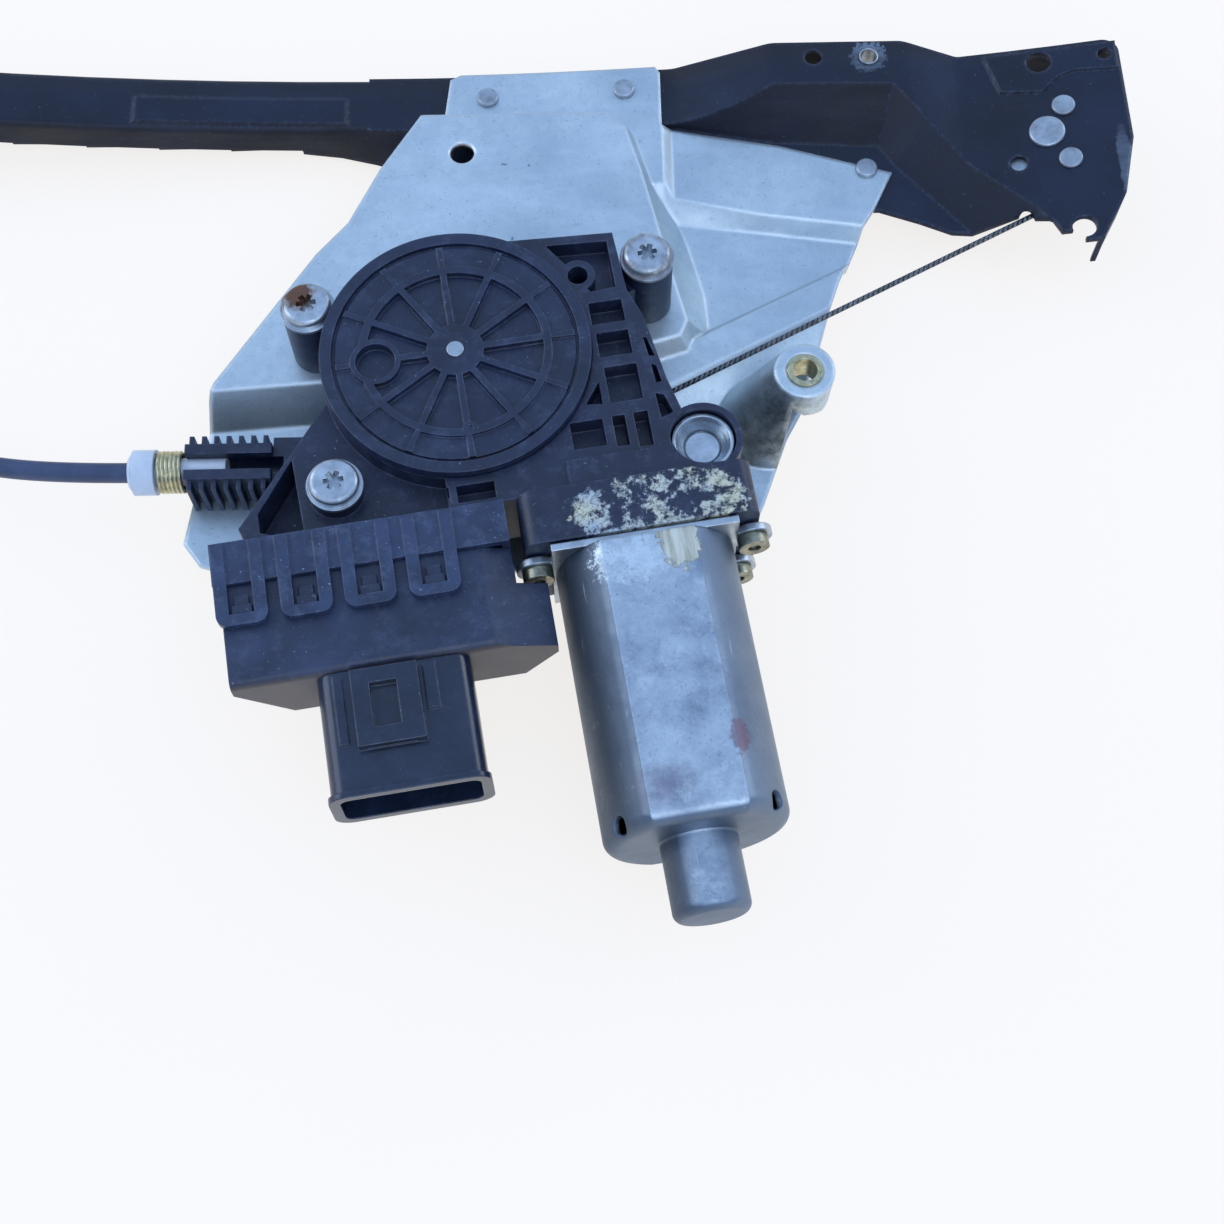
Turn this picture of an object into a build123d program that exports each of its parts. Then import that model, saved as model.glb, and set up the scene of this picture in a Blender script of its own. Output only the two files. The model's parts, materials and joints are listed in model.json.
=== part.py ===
"""Window regulator: one curved rail, a bracket plate, a worm gear motor and its cable drive.

Millimetres. The origin is the middle of the top face of the threaded bush in the bracket's tower,
X runs along the rail to its right end, and Z points out of the door towards the fitter.
"""

import os
from math import asin, atan2, cos, degrees, hypot, pi, radians, sin, sqrt

from build123d import *

os.makedirs("parts", exist_ok=True)

# Pressed steel rail: a channel bent to one long radius, concave towards the fitter
sheet = 1.5
rail_radius = 1100.0
arc_x = -107.0
web_z = -22.0
arc_z = web_z + rail_radius
rail_left = -448.8
rail_right = 100.2
web_middle = 106.75
web_width = 19.1
channel_depth = 12.0
track_slot = 10.0
channel_round = 2.0
track_end = 48.0
channel_start = -402.0
channel_end = -125.0
joint_overlap = 1.0
web_low = web_middle - web_width / 2
web_high = web_middle + web_width / 2

# Wide end of the rail, with its raised hump and the plate that carries the right pulley
hump_z = -8.0
hump_start = -3.0
hump_end = 38.0
ramp_start = -32.0
end_plate_start = 53.0
hump_round = 9.0
skirt_z = -22.0
end_top = 111.7
corner_round = 8.0
deep = -60.0

# Bracket plate, pressed from one sheet in four levels
plate_sheet = 1.5
shelf_z = skirt_z + plate_sheet
platform_z = -14.0
field_z = -25.0
tower_radius = 8.3
tower_wall = 1.6
tower_foot_radius = 15.0
tower_foot = (-9.0, -3.0)
bush_radius = 5.0
bush_thread = 6.8
bush_length = 9.0

# Gear unit: the cable drum's axle, and the unit's own axes, turned against the rail
axle_x = -94.8
axle_y = 0.4
unit_turn = 8.6
motor_u = 40.5
motor_z = -4.0

# Worm drive
module = 1.0
wheel_teeth = 67
wheel_pitch = module * wheel_teeth / 2
worm_pitch = motor_u - wheel_pitch
addendum = 0.8
tooth_width = 1.0
wheel_face = 8.0
worm_lead = pi * module
worm_turns = 6

# Cable, drum and pulleys
cable_diameter = 1.5
drum_cable = 24.0
drum_z = -18.5
drum_height = 8.6
cable_depth = 6.0
cable_y = 100.9
pulley_cable = 19.6
pulley_rim = 1.4
pulley_width = 5.0
pulley_bore = 3.1
right_pulley_x = 76.4
left_pulley_x = -424.2
sheath_diameter = 5.7

# Gear housing, cover and drum housing
pot_wall = 1.7
pot_clearance = 0.4
pot_radius = wheel_pitch + addendum + pot_clearance + pot_wall
pot_floor = -13.0
pot_top = 10.0
cover_top = 14.0
drum_housing_floor = -25.0
drum_housing_radius = 30.5
axle_pin_radius = 2.3
bolt_places = ((-37.8, 22.2), (56.1, 22.3), (-36.7, -32.0))
bolt_post_top = 8.2
bolt_post_radius = 7.2
bolt_head_radius = 6.65
bolt_head_height = 3.9
bolt_radius = 3.0
bolt_clearance = 0.2

# Motor
can_radius = 23.8
can_flat = 20.5
can_wall = 1.6
can_start = -62.6
can_end = -138.6
nub_radius = 10.0
nub_end = -158.6
flange_sheet = 2.0

# Electronics box and connector
box_left = -69.0
box_right = 14.0
box_front = -84.5
box_back = -57.0
box_low = -12.0
box_high = 11.0
box_wall = 2.0
shroud_left = -47.8
shroud_right = -8.6
shroud_end = -117.5
shroud_low = -10.0
shroud_high = 10.0
shroud_wall = 2.0

# Running gap between parts that turn or slide, and the small one between parts that are laid in
gap = 0.3
fit = 0.05

# Carrier: where its middle stands at rest, its length along the rail and its steel plate
carrier_x = -372.0
slider_length = 50.0
carrier_length = 60.0
carrier_low = 67.0
socket_y = 82.0

# Tensioner at the drum housing's sheath arm
arm_y = -19.2
arm_z = -17.0
arm_left = -171.0
ferrule_left = -187.0
spring_left = -179.5
spring_radius = 5.5
spring_wire = 1.0
spring_turns = 6


def write(name, *shapes):
    """Save the solids of one node."""
    solids = [solid for shape in shapes for solid in shape.solids()]
    whole = solids[0] if len(solids) == 1 else Compound(children=solids)
    whole.label = name
    export_step(whole, f"parts/{name}.step")


def arc_height(x, toward=0.0):
    """Height of a surface that lies toward the fitter from the front face of the bent web."""
    return arc_z - sqrt((rail_radius - toward) ** 2 - (x - arc_x) ** 2)


def arc_block(y_low, y_high, near, far, x_start, x_end):
    """Bar of rectangular section that follows the rail's bend, near to far behind the web's front."""
    section = Plane.YZ * Pos((y_low + y_high) / 2, -(rail_radius + (near + far) / 2))
    section = section * Rectangle(y_high - y_low, far - near)
    first = degrees(asin((x_start - arc_x) / rail_radius))
    last = degrees(asin((x_end - arc_x) / rail_radius))
    return Pos(arc_x, 0, arc_z) * Rot(0, -last, 0) * revolve(section, Axis.Y, last - first)


def on_arc(x, y, depth):
    """Place at a depth behind the point of the web's front at x, its Z axis along the bend's radius."""
    lean = asin((x - arc_x) / rail_radius)
    reach = rail_radius + depth
    place = (arc_x + reach * sin(lean), y, arc_z - reach * cos(lean))
    return Plane(origin=place, x_dir=(cos(lean), 0, sin(lean)), z_dir=(-sin(lean), 0, cos(lean)))


def prism(points, low, high, corner=0.0):
    """Upright block over a plan outline, its corners rounded if a radius is given."""
    outline = Polygon(*points, align=None)
    if corner:
        outline = fillet(outline.vertices(), corner)
    return Pos(0, 0, low) * extrude(outline, high - low, dir=(0, 0, 1))


def block(x_low, x_high, y_low, y_high, z_low, z_high):
    """Box between two corners."""
    size = (x_high - x_low, y_high - y_low, z_high - z_low)
    middle = ((x_low + x_high) / 2, (y_low + y_high) / 2, (z_low + z_high) / 2)
    return Pos(*middle) * Box(*size)


def rod(x, y, low, high, radius):
    """Upright cylinder between two heights."""
    return Pos(x, y, (low + high) / 2) * Cylinder(radius, high - low)


def ring(x, y, low, high, outer, inner):
    """Upright tube between two heights."""
    return rod(x, y, low, high, outer) - rod(x, y, low - 1, high + 1, inner)


def wedge(lines, high, low, inset):
    """Block with sloping walls: each line gives a wall's top and foot corner, at two named heights."""
    faces = []
    for level in (high + 6.0, low - 4.0):
        share = (level - high) / (low - high)
        points = [
            (top[0] + (foot[0] - top[0]) * share, top[1] + (foot[1] - top[1]) * share)
            for top, foot in lines
        ]
        outline = Polygon(*points, align=None)
        if inset:
            outline = offset(outline, -inset, kind=Kind.INTERSECTION)
        faces.append(Pos(0, 0, level) * outline)
    return loft(faces, ruled=True)


unit = Plane(
    origin=(axle_x, axle_y, 0),
    x_dir=(cos(radians(unit_turn)), sin(radians(unit_turn)), 0),
    z_dir=(0, 0, 1),
)


def at_unit(shape):
    """Move a shape drawn on the gear unit's own axes into the part's frame."""
    return unit.location * shape


def unit_point(u, v):
    """Plan position of a point given on the gear unit's axes."""
    turn = radians(unit_turn)
    return (axle_x + u * cos(turn) - v * sin(turn), axle_y + u * sin(turn) + v * cos(turn))


def under_web(inset):
    """Everything below the front of the web and the hump, set back by a sheet's thickness."""
    left, right = channel_end - 1, rail_right + 10

    def z(x):
        return arc_height(x, -inset)

    first = ThreePointArc(
        (left, z(left)), ((left + ramp_start) / 2, z((left + ramp_start) / 2)), (ramp_start, z(ramp_start))
    )
    hump = Polyline(
        (ramp_start, z(ramp_start)),
        (hump_start, hump_z - inset),
        (hump_end, hump_z - inset),
        (end_plate_start, z(end_plate_start)),
    )
    middle = (end_plate_start + right) / 2
    second = ThreePointArc((end_plate_start, z(end_plate_start)), (middle, z(middle)), (right, z(right)))
    rest = Polyline((right, z(right)), (right, deep), (left, deep), (left, z(left)))
    face = make_face(Curve() + [first, hump, second, rest])
    bends = [
        corner
        for corner in face.vertices()
        if ramp_start - 1 < corner.X < end_plate_start + 1 and corner.Y > deep + 1
    ]
    face = fillet(bends, hump_round)
    return extrude(Plane.XZ * face, 200, both=True)


ridge_lines = (
    ((-160.0, web_low), (-160.0, web_low)),
    ((ramp_start, web_low), (ramp_start, 96.0)),
    ((hump_start, 101.5), (hump_start, 90.5)),
    ((33.0, 101.0), (29.0, 88.5)),
    ((42.0, 89.5), (34.0, 81.0)),
    ((71.4, 55.3), (62.5, 48.0)),
    ((84.0, 30.0), (75.0, 22.0)),
    ((140.0, 30.0), (140.0, 22.0)),
    ((140.0, 160.0), (140.0, 160.0)),
    ((-160.0, 160.0), (-160.0, 160.0)),
)
edge_points = (
    (-160.0, 20.0),
    (88.0, 20.0),
    (88.5, 44.0),
    (96.1, 57.7),
    (rail_right, 76.3),
    (99.4, end_top),
    (end_plate_start, end_top),
    (36.0, web_high),
    (-160.0, web_high),
)


def edge_prism(inset):
    """Upright block inside the folded top and right edges of the wide end."""
    outline = fillet(Polygon(*edge_points, align=None).vertices().sort_by(Axis.X)[2:8], 5.0)
    if inset:
        outline = offset(outline, -inset, kind=Kind.ARC)
    return Pos(0, 0, deep) * extrude(outline, 120)


def rail_mass(inset):
    """Everything below the wide end's skin."""
    walls = wedge(ridge_lines, hump_z, skirt_z, inset)
    raised = under_web(inset) & walls
    skirt = block(-160, 140, 0, 160, deep, skirt_z - inset)
    return (raised + skirt) & edge_prism(inset)


skirt_outline = (
    (channel_end, 130.0),
    (channel_end, web_low),
    (-100.0, web_low),
    (-100.0, 79.0),
    (-40.0, 79.0),
    (-34.0, 71.2),
    (-14.5, 66.0),
    (28.0, 65.8),
    (39.7, 61.5),
    (49.1, 57.4),
    (66.8, 56.1),
    (75.2, 51.4),
    (79.0, 43.5),
    (110.0, 43.5),
    (110.0, 130.0),
)
rail_holes = (
    (76.4, 105.9, 3.5),
    (95.3, 106.1, 1.9),
    (67.5, 71.7, 2.5),
    (9.6, 110.8, 2.5),
)
end_rivets = ((81.9, 89.9), (82.1, 71.4))
nut_place = (26.2, 110.6)
nut_thread = 5.0
tab_rivets = ((-88.5, 107.1), (-47.0, 108.4), (24.9, 79.4))
right_pulley_y = cable_y - pulley_cable
left_pulley_y = cable_y - pulley_cable
axle_radius = 3.0
notch_place = (83.5, 48.0)
left_plate = (
    (rail_left, web_high),
    (rail_left, 66.0),
    (-441.0, 59.0),
    (-432.0, 53.0),
    (-388.0, 53.0),
    (-383.0, 60.0),
    (-373.0, web_low),
    (-372.0, web_high),
)
left_hole = (-437.0, 109.5)


bead_start, bead_end = -196.0, -131.0
bead_high = 109.0
bead_rise = 0.9
flare_top = ((-146.0, web_low), (-134.0, web_low), (-123.0, web_low), (-114.0, web_low))
flare_foot = ((-146.0, web_low), (-134.0, 95.5), (-123.0, 92.6), (-114.0, 89.4))
step_outline = (
    (60.0, 112.0), (64.4, 96.7), (76.3, 95.3), (81.1, 99.9), (85.9, 101.7), (101.0, 100.4), (101.0, 112.0),
)
step_rise = 0.8


def web_bead():
    """Low flat bead pressed into the web where the rail widens, its rim sloped."""
    bead = arc_block(web_low + 1.6, bead_high, -bead_rise, sheet / 2, bead_start, bead_end)
    rim = [edge for edge in bead.edges() if edge.center().Z > arc_height(edge.center().X) + bead_rise / 2]
    return chamfer(rim, bead_rise * 0.9)


def lower_flare():
    """Lower flange turned out towards the wide end."""
    faces = []
    for level, line in ((web_z - sheet, flare_top), (web_z - channel_depth + 0.9, flare_foot)):
        back = [(x, y + sheet) for x, y in reversed(line)]
        faces.append(Pos(0, 0, level) * Polygon(*line, *back, align=None))
    return loft(faces, ruled=True)


def end_step():
    """Raised land round the end hole."""
    land = arc_block(90, end_top - sheet, -step_rise, sheet / 2, 58, rail_right - sheet)
    return land & prism(step_outline, deep, 60)


def make_rail():
    """Channel, wide right end with hump and skirt, and the left end that carries the other pulley."""
    low_inner, high_inner = web_low + sheet, web_high - sheet
    lip_low = web_middle - track_slot / 2
    lip_high = web_middle + track_slot / 2
    lip_near = channel_depth - sheet
    section = Plane.YZ * Pos(web_middle, -(rail_radius + channel_depth / 2))
    profile = RectangleRounded(web_width, channel_depth, channel_round)
    profile -= RectangleRounded(web_width - 2 * sheet, channel_depth - 2 * sheet, channel_round - sheet)
    profile -= Pos(0, -channel_depth / 2) * Rectangle(track_slot, 3 * sheet)
    first = degrees(asin((channel_start - arc_x) / rail_radius))
    last = degrees(asin((channel_end + joint_overlap - arc_x) / rail_radius))
    channel = Pos(arc_x, 0, arc_z) * Rot(0, -last, 0) * revolve(section * profile, Axis.Y, last - first)

    skin = rail_mass(0) - rail_mass(sheet)
    skin &= prism(skirt_outline, deep, 60)
    skin &= block(-200, 200, 0, 200, skirt_z - sheet, 40)
    folds = edge_prism(0) - edge_prism(sheet)
    folds &= block(channel_end, 120, 50, 130, deep, 60)
    folds &= rail_mass(0)
    folds &= arc_block(40, 130, -20, channel_depth, channel_end, 108)
    track = arc_block(web_low, low_inner, -20, channel_depth, channel_end, track_end)
    track += arc_block(web_low, lip_low, lip_near, channel_depth, channel_end, track_end)
    track += arc_block(lip_high, high_inner + 0.2, lip_near, channel_depth, channel_end, track_end)
    track &= rail_mass(0)
    skin -= arc_block(105, 130, channel_depth, 60, channel_end - 5, 110)
    skin -= arc_block(30, 130, channel_depth, 60, 76, 115)

    left_end = arc_block(40, web_high, 0, sheet, rail_left - 2, channel_start + joint_overlap)
    left_end += arc_block(40, web_low + 3, 0, sheet, channel_start, -370)
    left_end &= prism(left_plate, -40, 80)
    left_fold = prism(left_plate, -40, 80) - Pos(sheet, -sheet, 0) * prism(left_plate, -41, 81)
    left_fold &= arc_block(62, web_high + 1, 0, channel_depth, rail_left - 2, channel_start + joint_overlap)

    rail = channel + skin + folds + track + left_end + left_fold
    rail += web_bead()
    rail += lower_flare()
    rail += end_step()
    for x, y, radius in rail_holes:
        place = on_arc(x, y, 0).location if x > end_plate_start else Pos(x, y, hump_z)
        rail -= place * Cylinder(radius, 12)
    for x, y in end_rivets:
        rail -= on_arc(x, y, 0).location * Cylinder(1.8 + fit, 12)
    rail -= tube_between(cable_start, cable_end, cable_diameter / 2 + 1.5)
    rail -= on_arc(right_pulley_x, right_pulley_y, 0).location * Cylinder(axle_radius + fit, 12)
    rail -= on_arc(left_pulley_x, left_pulley_y, 0).location * Cylinder(axle_radius + fit, 12)
    rail -= rod(*nut_place, -30, 0, nut_thread / 2 + 0.4)
    rail -= on_arc(*left_hole, 0).location * Cylinder(3.5, 12)
    for x, y in tab_rivets:
        rail -= rod(x, y, -30, -12, 2.1 + fit)
    notch = rod(*notch_place, -40, 20, 3.4) + block(75, notch_place[0], 43, 47, -40, 20)
    return rail - notch


plate_outline = (
    (-100.0, 114.3),
    (-96.8, 116.0),
    (-37.5, 116.3),
    (-36.0, 114.0),
    (-36.0, 95.1),
    (-0.9, 88.2),
    (32.5, 78.0),
    (26.6, 65.7),
    (22.6, 59.3),
    (14.0, 39.3),
    (10.6, 29.9),
    (7.8, 21.0),
    (1.3, 0.3),
    (-3.4, -8.3),
    (-10.7, -28.2),
    (-16.0, -40.0),
    (-60.0, -47.0),
    (-150.0, -50.0),
    (-168.1, -44.2),
    (-172.9, -37.5),
    (-166.5, 2.6),
    (-165.0, 7.0),
    (-137.7, 48.8),
    (-128.8, 59.2),
    (-119.9, 77.7),
    (-108.1, 96.8),
    (-102.0, 96.8),
)
platform_lines = (
    ((-190.0, 3.0), (-190.0, -5.0)),
    ((-60.0, 12.0), (-60.0, 4.0)),
    ((-33.0, 20.0), (-28.0, 13.5)),
    ((-31.0, 25.0), (-24.1, 24.9)),
    ((-35.0, 41.0), (-25.0, 39.0)),
    ((-39.1, 59.7), (-29.5, 56.5)),
    ((-43.0, 77.2), (-36.0, 75.0)),
    ((-47.1, 91.5), (-41.0, 91.5)),
    ((-54.5, 96.8), (-52.0, 101.0)),
    ((-190.0, 96.8), (-190.0, 101.0)),
)
shelf_lines = (
    ((-200.0, 71.0), (-200.0, 64.0)),
    ((-36.0, 71.0), (-36.0, 64.0)),
    ((-8.0, 64.4), (-8.0, 60.3)),
    ((60.0, 54.0), (60.0, 50.0)),
    ((60.0, 160.0), (60.0, 160.0)),
    ((-200.0, 160.0), (-200.0, 160.0)),
)
cable_bead = ((-58.0, 0.5), (24.0, 41.9))
drum_recess = drum_housing_radius + 3.0


def under_shelf(inset):
    """Everything below the shelf: the tab that lies on the bent web, then the flat on the skirt."""
    left, bend, flat, right = -120.0, -36.0, -33.0, 70.0

    def z(x):
        return arc_height(x, plate_sheet - inset)

    first = ThreePointArc((left, z(left)), ((left + bend) / 2, z((left + bend) / 2)), (bend, z(bend)))
    rest = Polyline(
        (bend, z(bend)), (flat, shelf_z - inset), (right, shelf_z - inset), (right, deep), (left, deep), (left, z(left))
    )
    return extrude(Plane.XZ * make_face(Curve() + [first, rest]), 200, both=True)


def bead_mass(inset):
    """Raised bead that carries the cable from the drum to the plate's edge."""
    (x0, y0), (x1, y1) = cable_bead
    length = hypot(x1 - x0, y1 - y0)
    turn = degrees(atan2(y1 - y0, x1 - x0))
    sections = []
    for along, top in ((0.0, -19.5), (length, -17.6)):
        outline = Polygon(
            (-16.0 + inset, deep),
            (-16.0 + inset, field_z - inset),
            (-4.0 + inset / 2, top - inset),
            (5.0 - inset / 2, top - inset),
            (9.0 - inset, field_z - inset),
            (9.0 - inset, deep),
            align=None,
        )
        sections.append(Pos(x0, y0, 0) * Rot(0, 0, turn) * (Plane.YZ.offset(along) * outline))
    return loft(sections, ruled=True)


def bead_groove(radius):
    """Round-bottomed channel in the bead, on the cable's line."""
    start = Vector(cable_start) + (Vector(cable_end) - Vector(cable_start)) * 0.1
    direction = (Vector(cable_end) - Vector(cable_start)).normalized()
    tube = Plane(origin=start, z_dir=direction).location * Pos(0, 0, 60) * Cylinder(radius, 150)
    return tube + Pos(0, 0, 3) * tube


def tower_mass(inset):
    """Drawn tower that leans out of the field towards its bush."""
    top = Pos(0, 0, -0.4 - inset) * Circle(tower_radius - inset)
    foot = Pos(*tower_foot, field_z - 1) * Circle(tower_foot_radius - inset)
    return loft([top, foot])


def plate_mass(inset):
    """Everything below the bracket plate's front."""
    mass = block(-200, 60, -80, 160, deep, field_z - inset)
    shelf = wedge(shelf_lines, shelf_z, field_z, inset) & under_shelf(inset)
    platform = wedge(platform_lines, platform_z, field_z, inset)
    platform &= block(-200, 60, -80, 160, deep, platform_z - inset)
    platform -= rod(axle_x, axle_y, deep, 0, drum_recess + inset)
    mass = mass + shelf + platform
    return mass + bead_mass(inset) + tower_mass(inset)


def make_plate():
    """Bracket plate with shelf, platform, cable bead and tower."""
    plate = plate_mass(0) - plate_mass(plate_sheet)
    outline = prism(plate_outline, deep, 20) + rod(0, 0, -9.0, 2, tower_radius + 1)
    plate &= outline
    plate -= bead_groove(2.2)
    plate -= rod(0, 0, -12, 2, bush_radius)
    plate -= rod(-95.7, 82.9, -40, 0, 3.6)
    plate -= rod(axle_x, axle_y, -40, -20, 6.0)
    for x, y in tab_rivets:
        plate -= rod(x, y, -30, -12, 2.1 + fit)
    for u, v in bolt_places:
        x, y = unit_point(u, v)
        plate -= rod(x, y, -40, -10, bolt_radius + bolt_clearance)
    return max(plate.solids(), key=lambda solid: solid.volume)


pulley_plane = on_arc(right_pulley_x, right_pulley_y, cable_depth)
left_plane = on_arc(left_pulley_x, left_pulley_y, cable_depth)
pulley_lean = asin((right_pulley_x - arc_x) / rail_radius)


def cable_tangent():
    """Ends of the straight run that leaves the drum and the right pulley on the same side."""
    run_x = pulley_plane.origin.X - axle_x
    run_y = right_pulley_y - axle_y
    run = hypot(run_x, run_y)
    side = atan2(run_y, run_x) - pi / 2 + asin((drum_cable - pulley_cable) / run)
    start = (axle_x + drum_cable * cos(side), axle_y + drum_cable * sin(side))
    local = (pulley_cable * cos(side), pulley_cable * sin(side))
    end_x = pulley_plane.origin.X + local[0] * cos(pulley_lean)
    end_z = pulley_plane.origin.Z + local[0] * sin(pulley_lean)
    return start, (end_x, right_pulley_y + local[1], end_z), side


(start_x, start_y), cable_end, cable_side = cable_tangent()
cable_start = (start_x, start_y, drum_z)


def make_weld_nut():
    """Nut welded under the hump, its collar standing in the hump's hole."""
    x, y = nut_place
    under = hump_z - sheet - fit
    body = rod(x, y, under - 4.6, under, 4.1)
    body += rod(x, y, under, hump_z + 0.4, nut_thread / 2 + 0.4 - fit)
    return body - rod(x, y, -30, 0, nut_thread / 2)


def headed_pin(plane, head_radius, head_height, shank_radius, low, tail_radius, tail_height):
    """Rivet or axle: head on the plane, shank down to its tail's end at height low."""
    pin = Pos(0, 0, fit) * Cylinder(head_radius, head_height, align=(Align.CENTER, Align.CENTER, Align.MIN))
    pin = fillet(pin.edges().sort_by(Axis.Z)[-1], head_height * 0.6)
    pin += Pos(0, 0, low) * Cylinder(shank_radius, fit - low, align=(Align.CENTER, Align.CENTER, Align.MIN))
    pin += Pos(0, 0, low) * Cylinder(tail_radius, tail_height, align=(Align.CENTER, Align.CENTER, Align.MIN))
    return plane.location * pin


def make_end_rivets():
    """Two rivets that hold the right pulley's wear disc."""
    return [headed_pin(on_arc(x, y, 0), 3.45, 1.0, 1.8, -3.2, 2.6, 0.6) for x, y in end_rivets]


def make_wear_disc(plane, rivets):
    """Plastic disc between the end plate and a pulley."""
    disc = Pos(0, 0, cable_depth - sheet - fit - 0.5) * Cylinder(15.0, 1.0)
    disc -= Cylinder(axle_radius + fit, 20)
    disc = plane.location * disc
    for x, y in rivets:
        disc -= on_arc(x, y, 0).location * Cylinder(1.8 + fit, 12)
    return disc


axle_low = -(cable_depth + pulley_width / 2 + gap + 1.2)


def make_axle(plane):
    """Riveted axle with a flat disc head, turned over below its pulley."""
    moved = Plane(plane.origin + plane.z_dir * cable_depth, x_dir=plane.x_dir, z_dir=plane.z_dir)
    return headed_pin(moved, 5.25, 1.2, axle_radius, axle_low, 5.2, 1.2)


def make_pulley(plane):
    """Grooved cable pulley with six round holes in its web."""
    rim = pulley_cable + pulley_rim
    root = pulley_cable - cable_diameter / 2 - 0.15
    half = pulley_width / 2
    profile = Polygon(
        (pulley_bore, -half), (rim, -half), (rim, -1.7), (root, -0.9), (root, 0.9), (rim, 1.7), (rim, half),
        (pulley_bore, half), align=None,
    )
    pulley = revolve(Plane.XZ * profile, Axis.Z)
    for turn in range(6):
        pulley -= Rot(0, 0, 60 * turn) * Pos(10.5, 0, 0) * Cylinder(3.0, 20)
    return plane.location * pulley


def make_plate_rivets():
    """Round buttons that join the plate to the rail, headed over behind the sheet."""
    buttons = []
    for number, (x, y) in enumerate(tab_rivets):
        if number < 2:
            plane = on_arc(x, y, -plate_sheet)
        else:
            plane = Plane(origin=(x, y, shelf_z))
        buttons.append(headed_pin(plane, 3.3, 1.3, 2.0, -(plate_sheet + sheet + 0.8), 3.0, 0.75))
    return buttons


def make_tower_bush():
    """Threaded bush pressed into the tower's top from below."""
    bush = rod(0, 0, -bush_length, 0, bush_radius - fit)
    bush += rod(0, 0, -3.4, -0.4 - plate_sheet - fit, 6.2)
    return bush - rod(0, 0, -20, 1, bush_thread / 2)


def arm_ribs():
    """Cross ribs along both sides of the sheath arm."""
    ribs = [
        block(arm_left + 1 + 3.4 * n, arm_left + 2.3 + 3.4 * n, arm_y - 8.2, arm_y + 8.2, -24.9, -11.5)
        for n in range(7)
    ]
    return ribs


def make_drum_housing():
    """Moulded drum case with the ribbed arm that the sheath's tensioner slides in."""
    floor = drum_housing_floor
    case = rod(axle_x, axle_y, floor, pot_floor - fit, drum_housing_radius)
    arm_end = axle_x - 24.0
    arm = block(arm_left, arm_left + 24, arm_y - 5.4, arm_y + 5.4, floor, -10.6)
    arm += block(arm_left + 24, arm_end, arm_y - 8.2, arm_y + 8.2, floor, pot_floor - fit)
    for rib in arm_ribs():
        arm += rib
    x, y = unit_point(*bolt_places[2])
    case = case + arm + rod(x, y, floor, pot_floor - fit, 8.0)
    case += block(x, axle_x, y, -12.0, floor, floor + 3)
    case -= rod(axle_x, axle_y, floor + 1.8, 0, drum_cable + 2.2)
    case -= rod(axle_x, axle_y, floor - 1, 0, axle_pin_radius + fit)
    case -= rod(x, y, floor - 1, 0, bolt_radius + bolt_clearance)
    reach = arm_end - arm_left
    case -= Pos(arm_left + 13.5, arm_y, arm_z) * Rot(0, 90, 0) * Cylinder(4.2, 27.02)
    case -= block(arm_left - 1, arm_left + 27, arm_y - 2.4, arm_y + 2.4, arm_z, 0)
    case -= block(arm_left + 26.9, arm_left + reach + 20, arm_y - 6.4, arm_y + 2.6, arm_z - 3.2, arm_z + 1.6)
    (x0, y0) = (start_x, start_y)
    turn = degrees(cable_side) + 90
    case -= Pos(x0, y0, drum_z) * Rot(0, 0, turn) * block(-4, 40, -2.2, 2.2, -2.4, 2.6)
    return max(case.solids(), key=lambda solid: solid.volume)


pocket_boxes = (
    (37.5, 46.6, 2.8, 9.6),
    (38.0, 46.8, -7.4, 0.0),
    (38.4, 47.2, -21.4, -10.6),
    (26.6, 35.4, -33.5, -25.6),
    (38.0, 41.4, -34.5, -25.4),
    (43.8, 47.6, -35.5, -25.2),
    (-29.5, -20.5, -43.6, -38.4),
    (-18.5, -7.5, -43.6, -38.8),
    (-5.5, 4.5, -43.6, -38.8),
)
pocket_outlines = (
    ((29.0, 29.6), (45.8, 28.4), (45.8, 13.6), (38.8, 13.2), (33.6, 22.4)),
    ((36.3, -14.6), (31.8, -20.8), (36.3, -21.3)),
    ((50.3, -3.0), (51.3, -3.4), (52.6, -9.4), (50.9, -9.0)),
    ((51.0, -11.4), (52.4, -12.2), (53.0, -17.2), (51.4, -17.4)),
    ((50.6, -20.4), (52.8, -21.2), (54.4, -26.8), (50.9, -28.0)),
    ((-47.5, -20.0), (-58.0, -34.5), (-58.0, -40.0), (-49.0, -43.5), (-46.5, -43.5)),
)
body_outline = (
    (15.0, 33.2),
    (47.8, 30.8),
    (48.6, 12.0),
    (51.5, 4.0),
    (54.5, -17.0),
    (57.0, -28.0),
    (57.0, -45.0),
    (-8.0, -45.0),
    (-8.0, -20.0),
)
wing_outline = ((-35.8, -4.0), (-63.5, -38.0), (-61.0, -45.0), (-8.0, -45.0), (0.0, -20.0))
body_top = 11.0
wing_top = 4.0
socket_place = (60.9, -35.0)
socket_radius = 10.5
socket_bore = 8.8
cup_radius = 8.25
neck_low, neck_high = 9.5, 71.0
neck_top = 14.6
worm_bore = worm_pitch + addendum + 1.0


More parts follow.
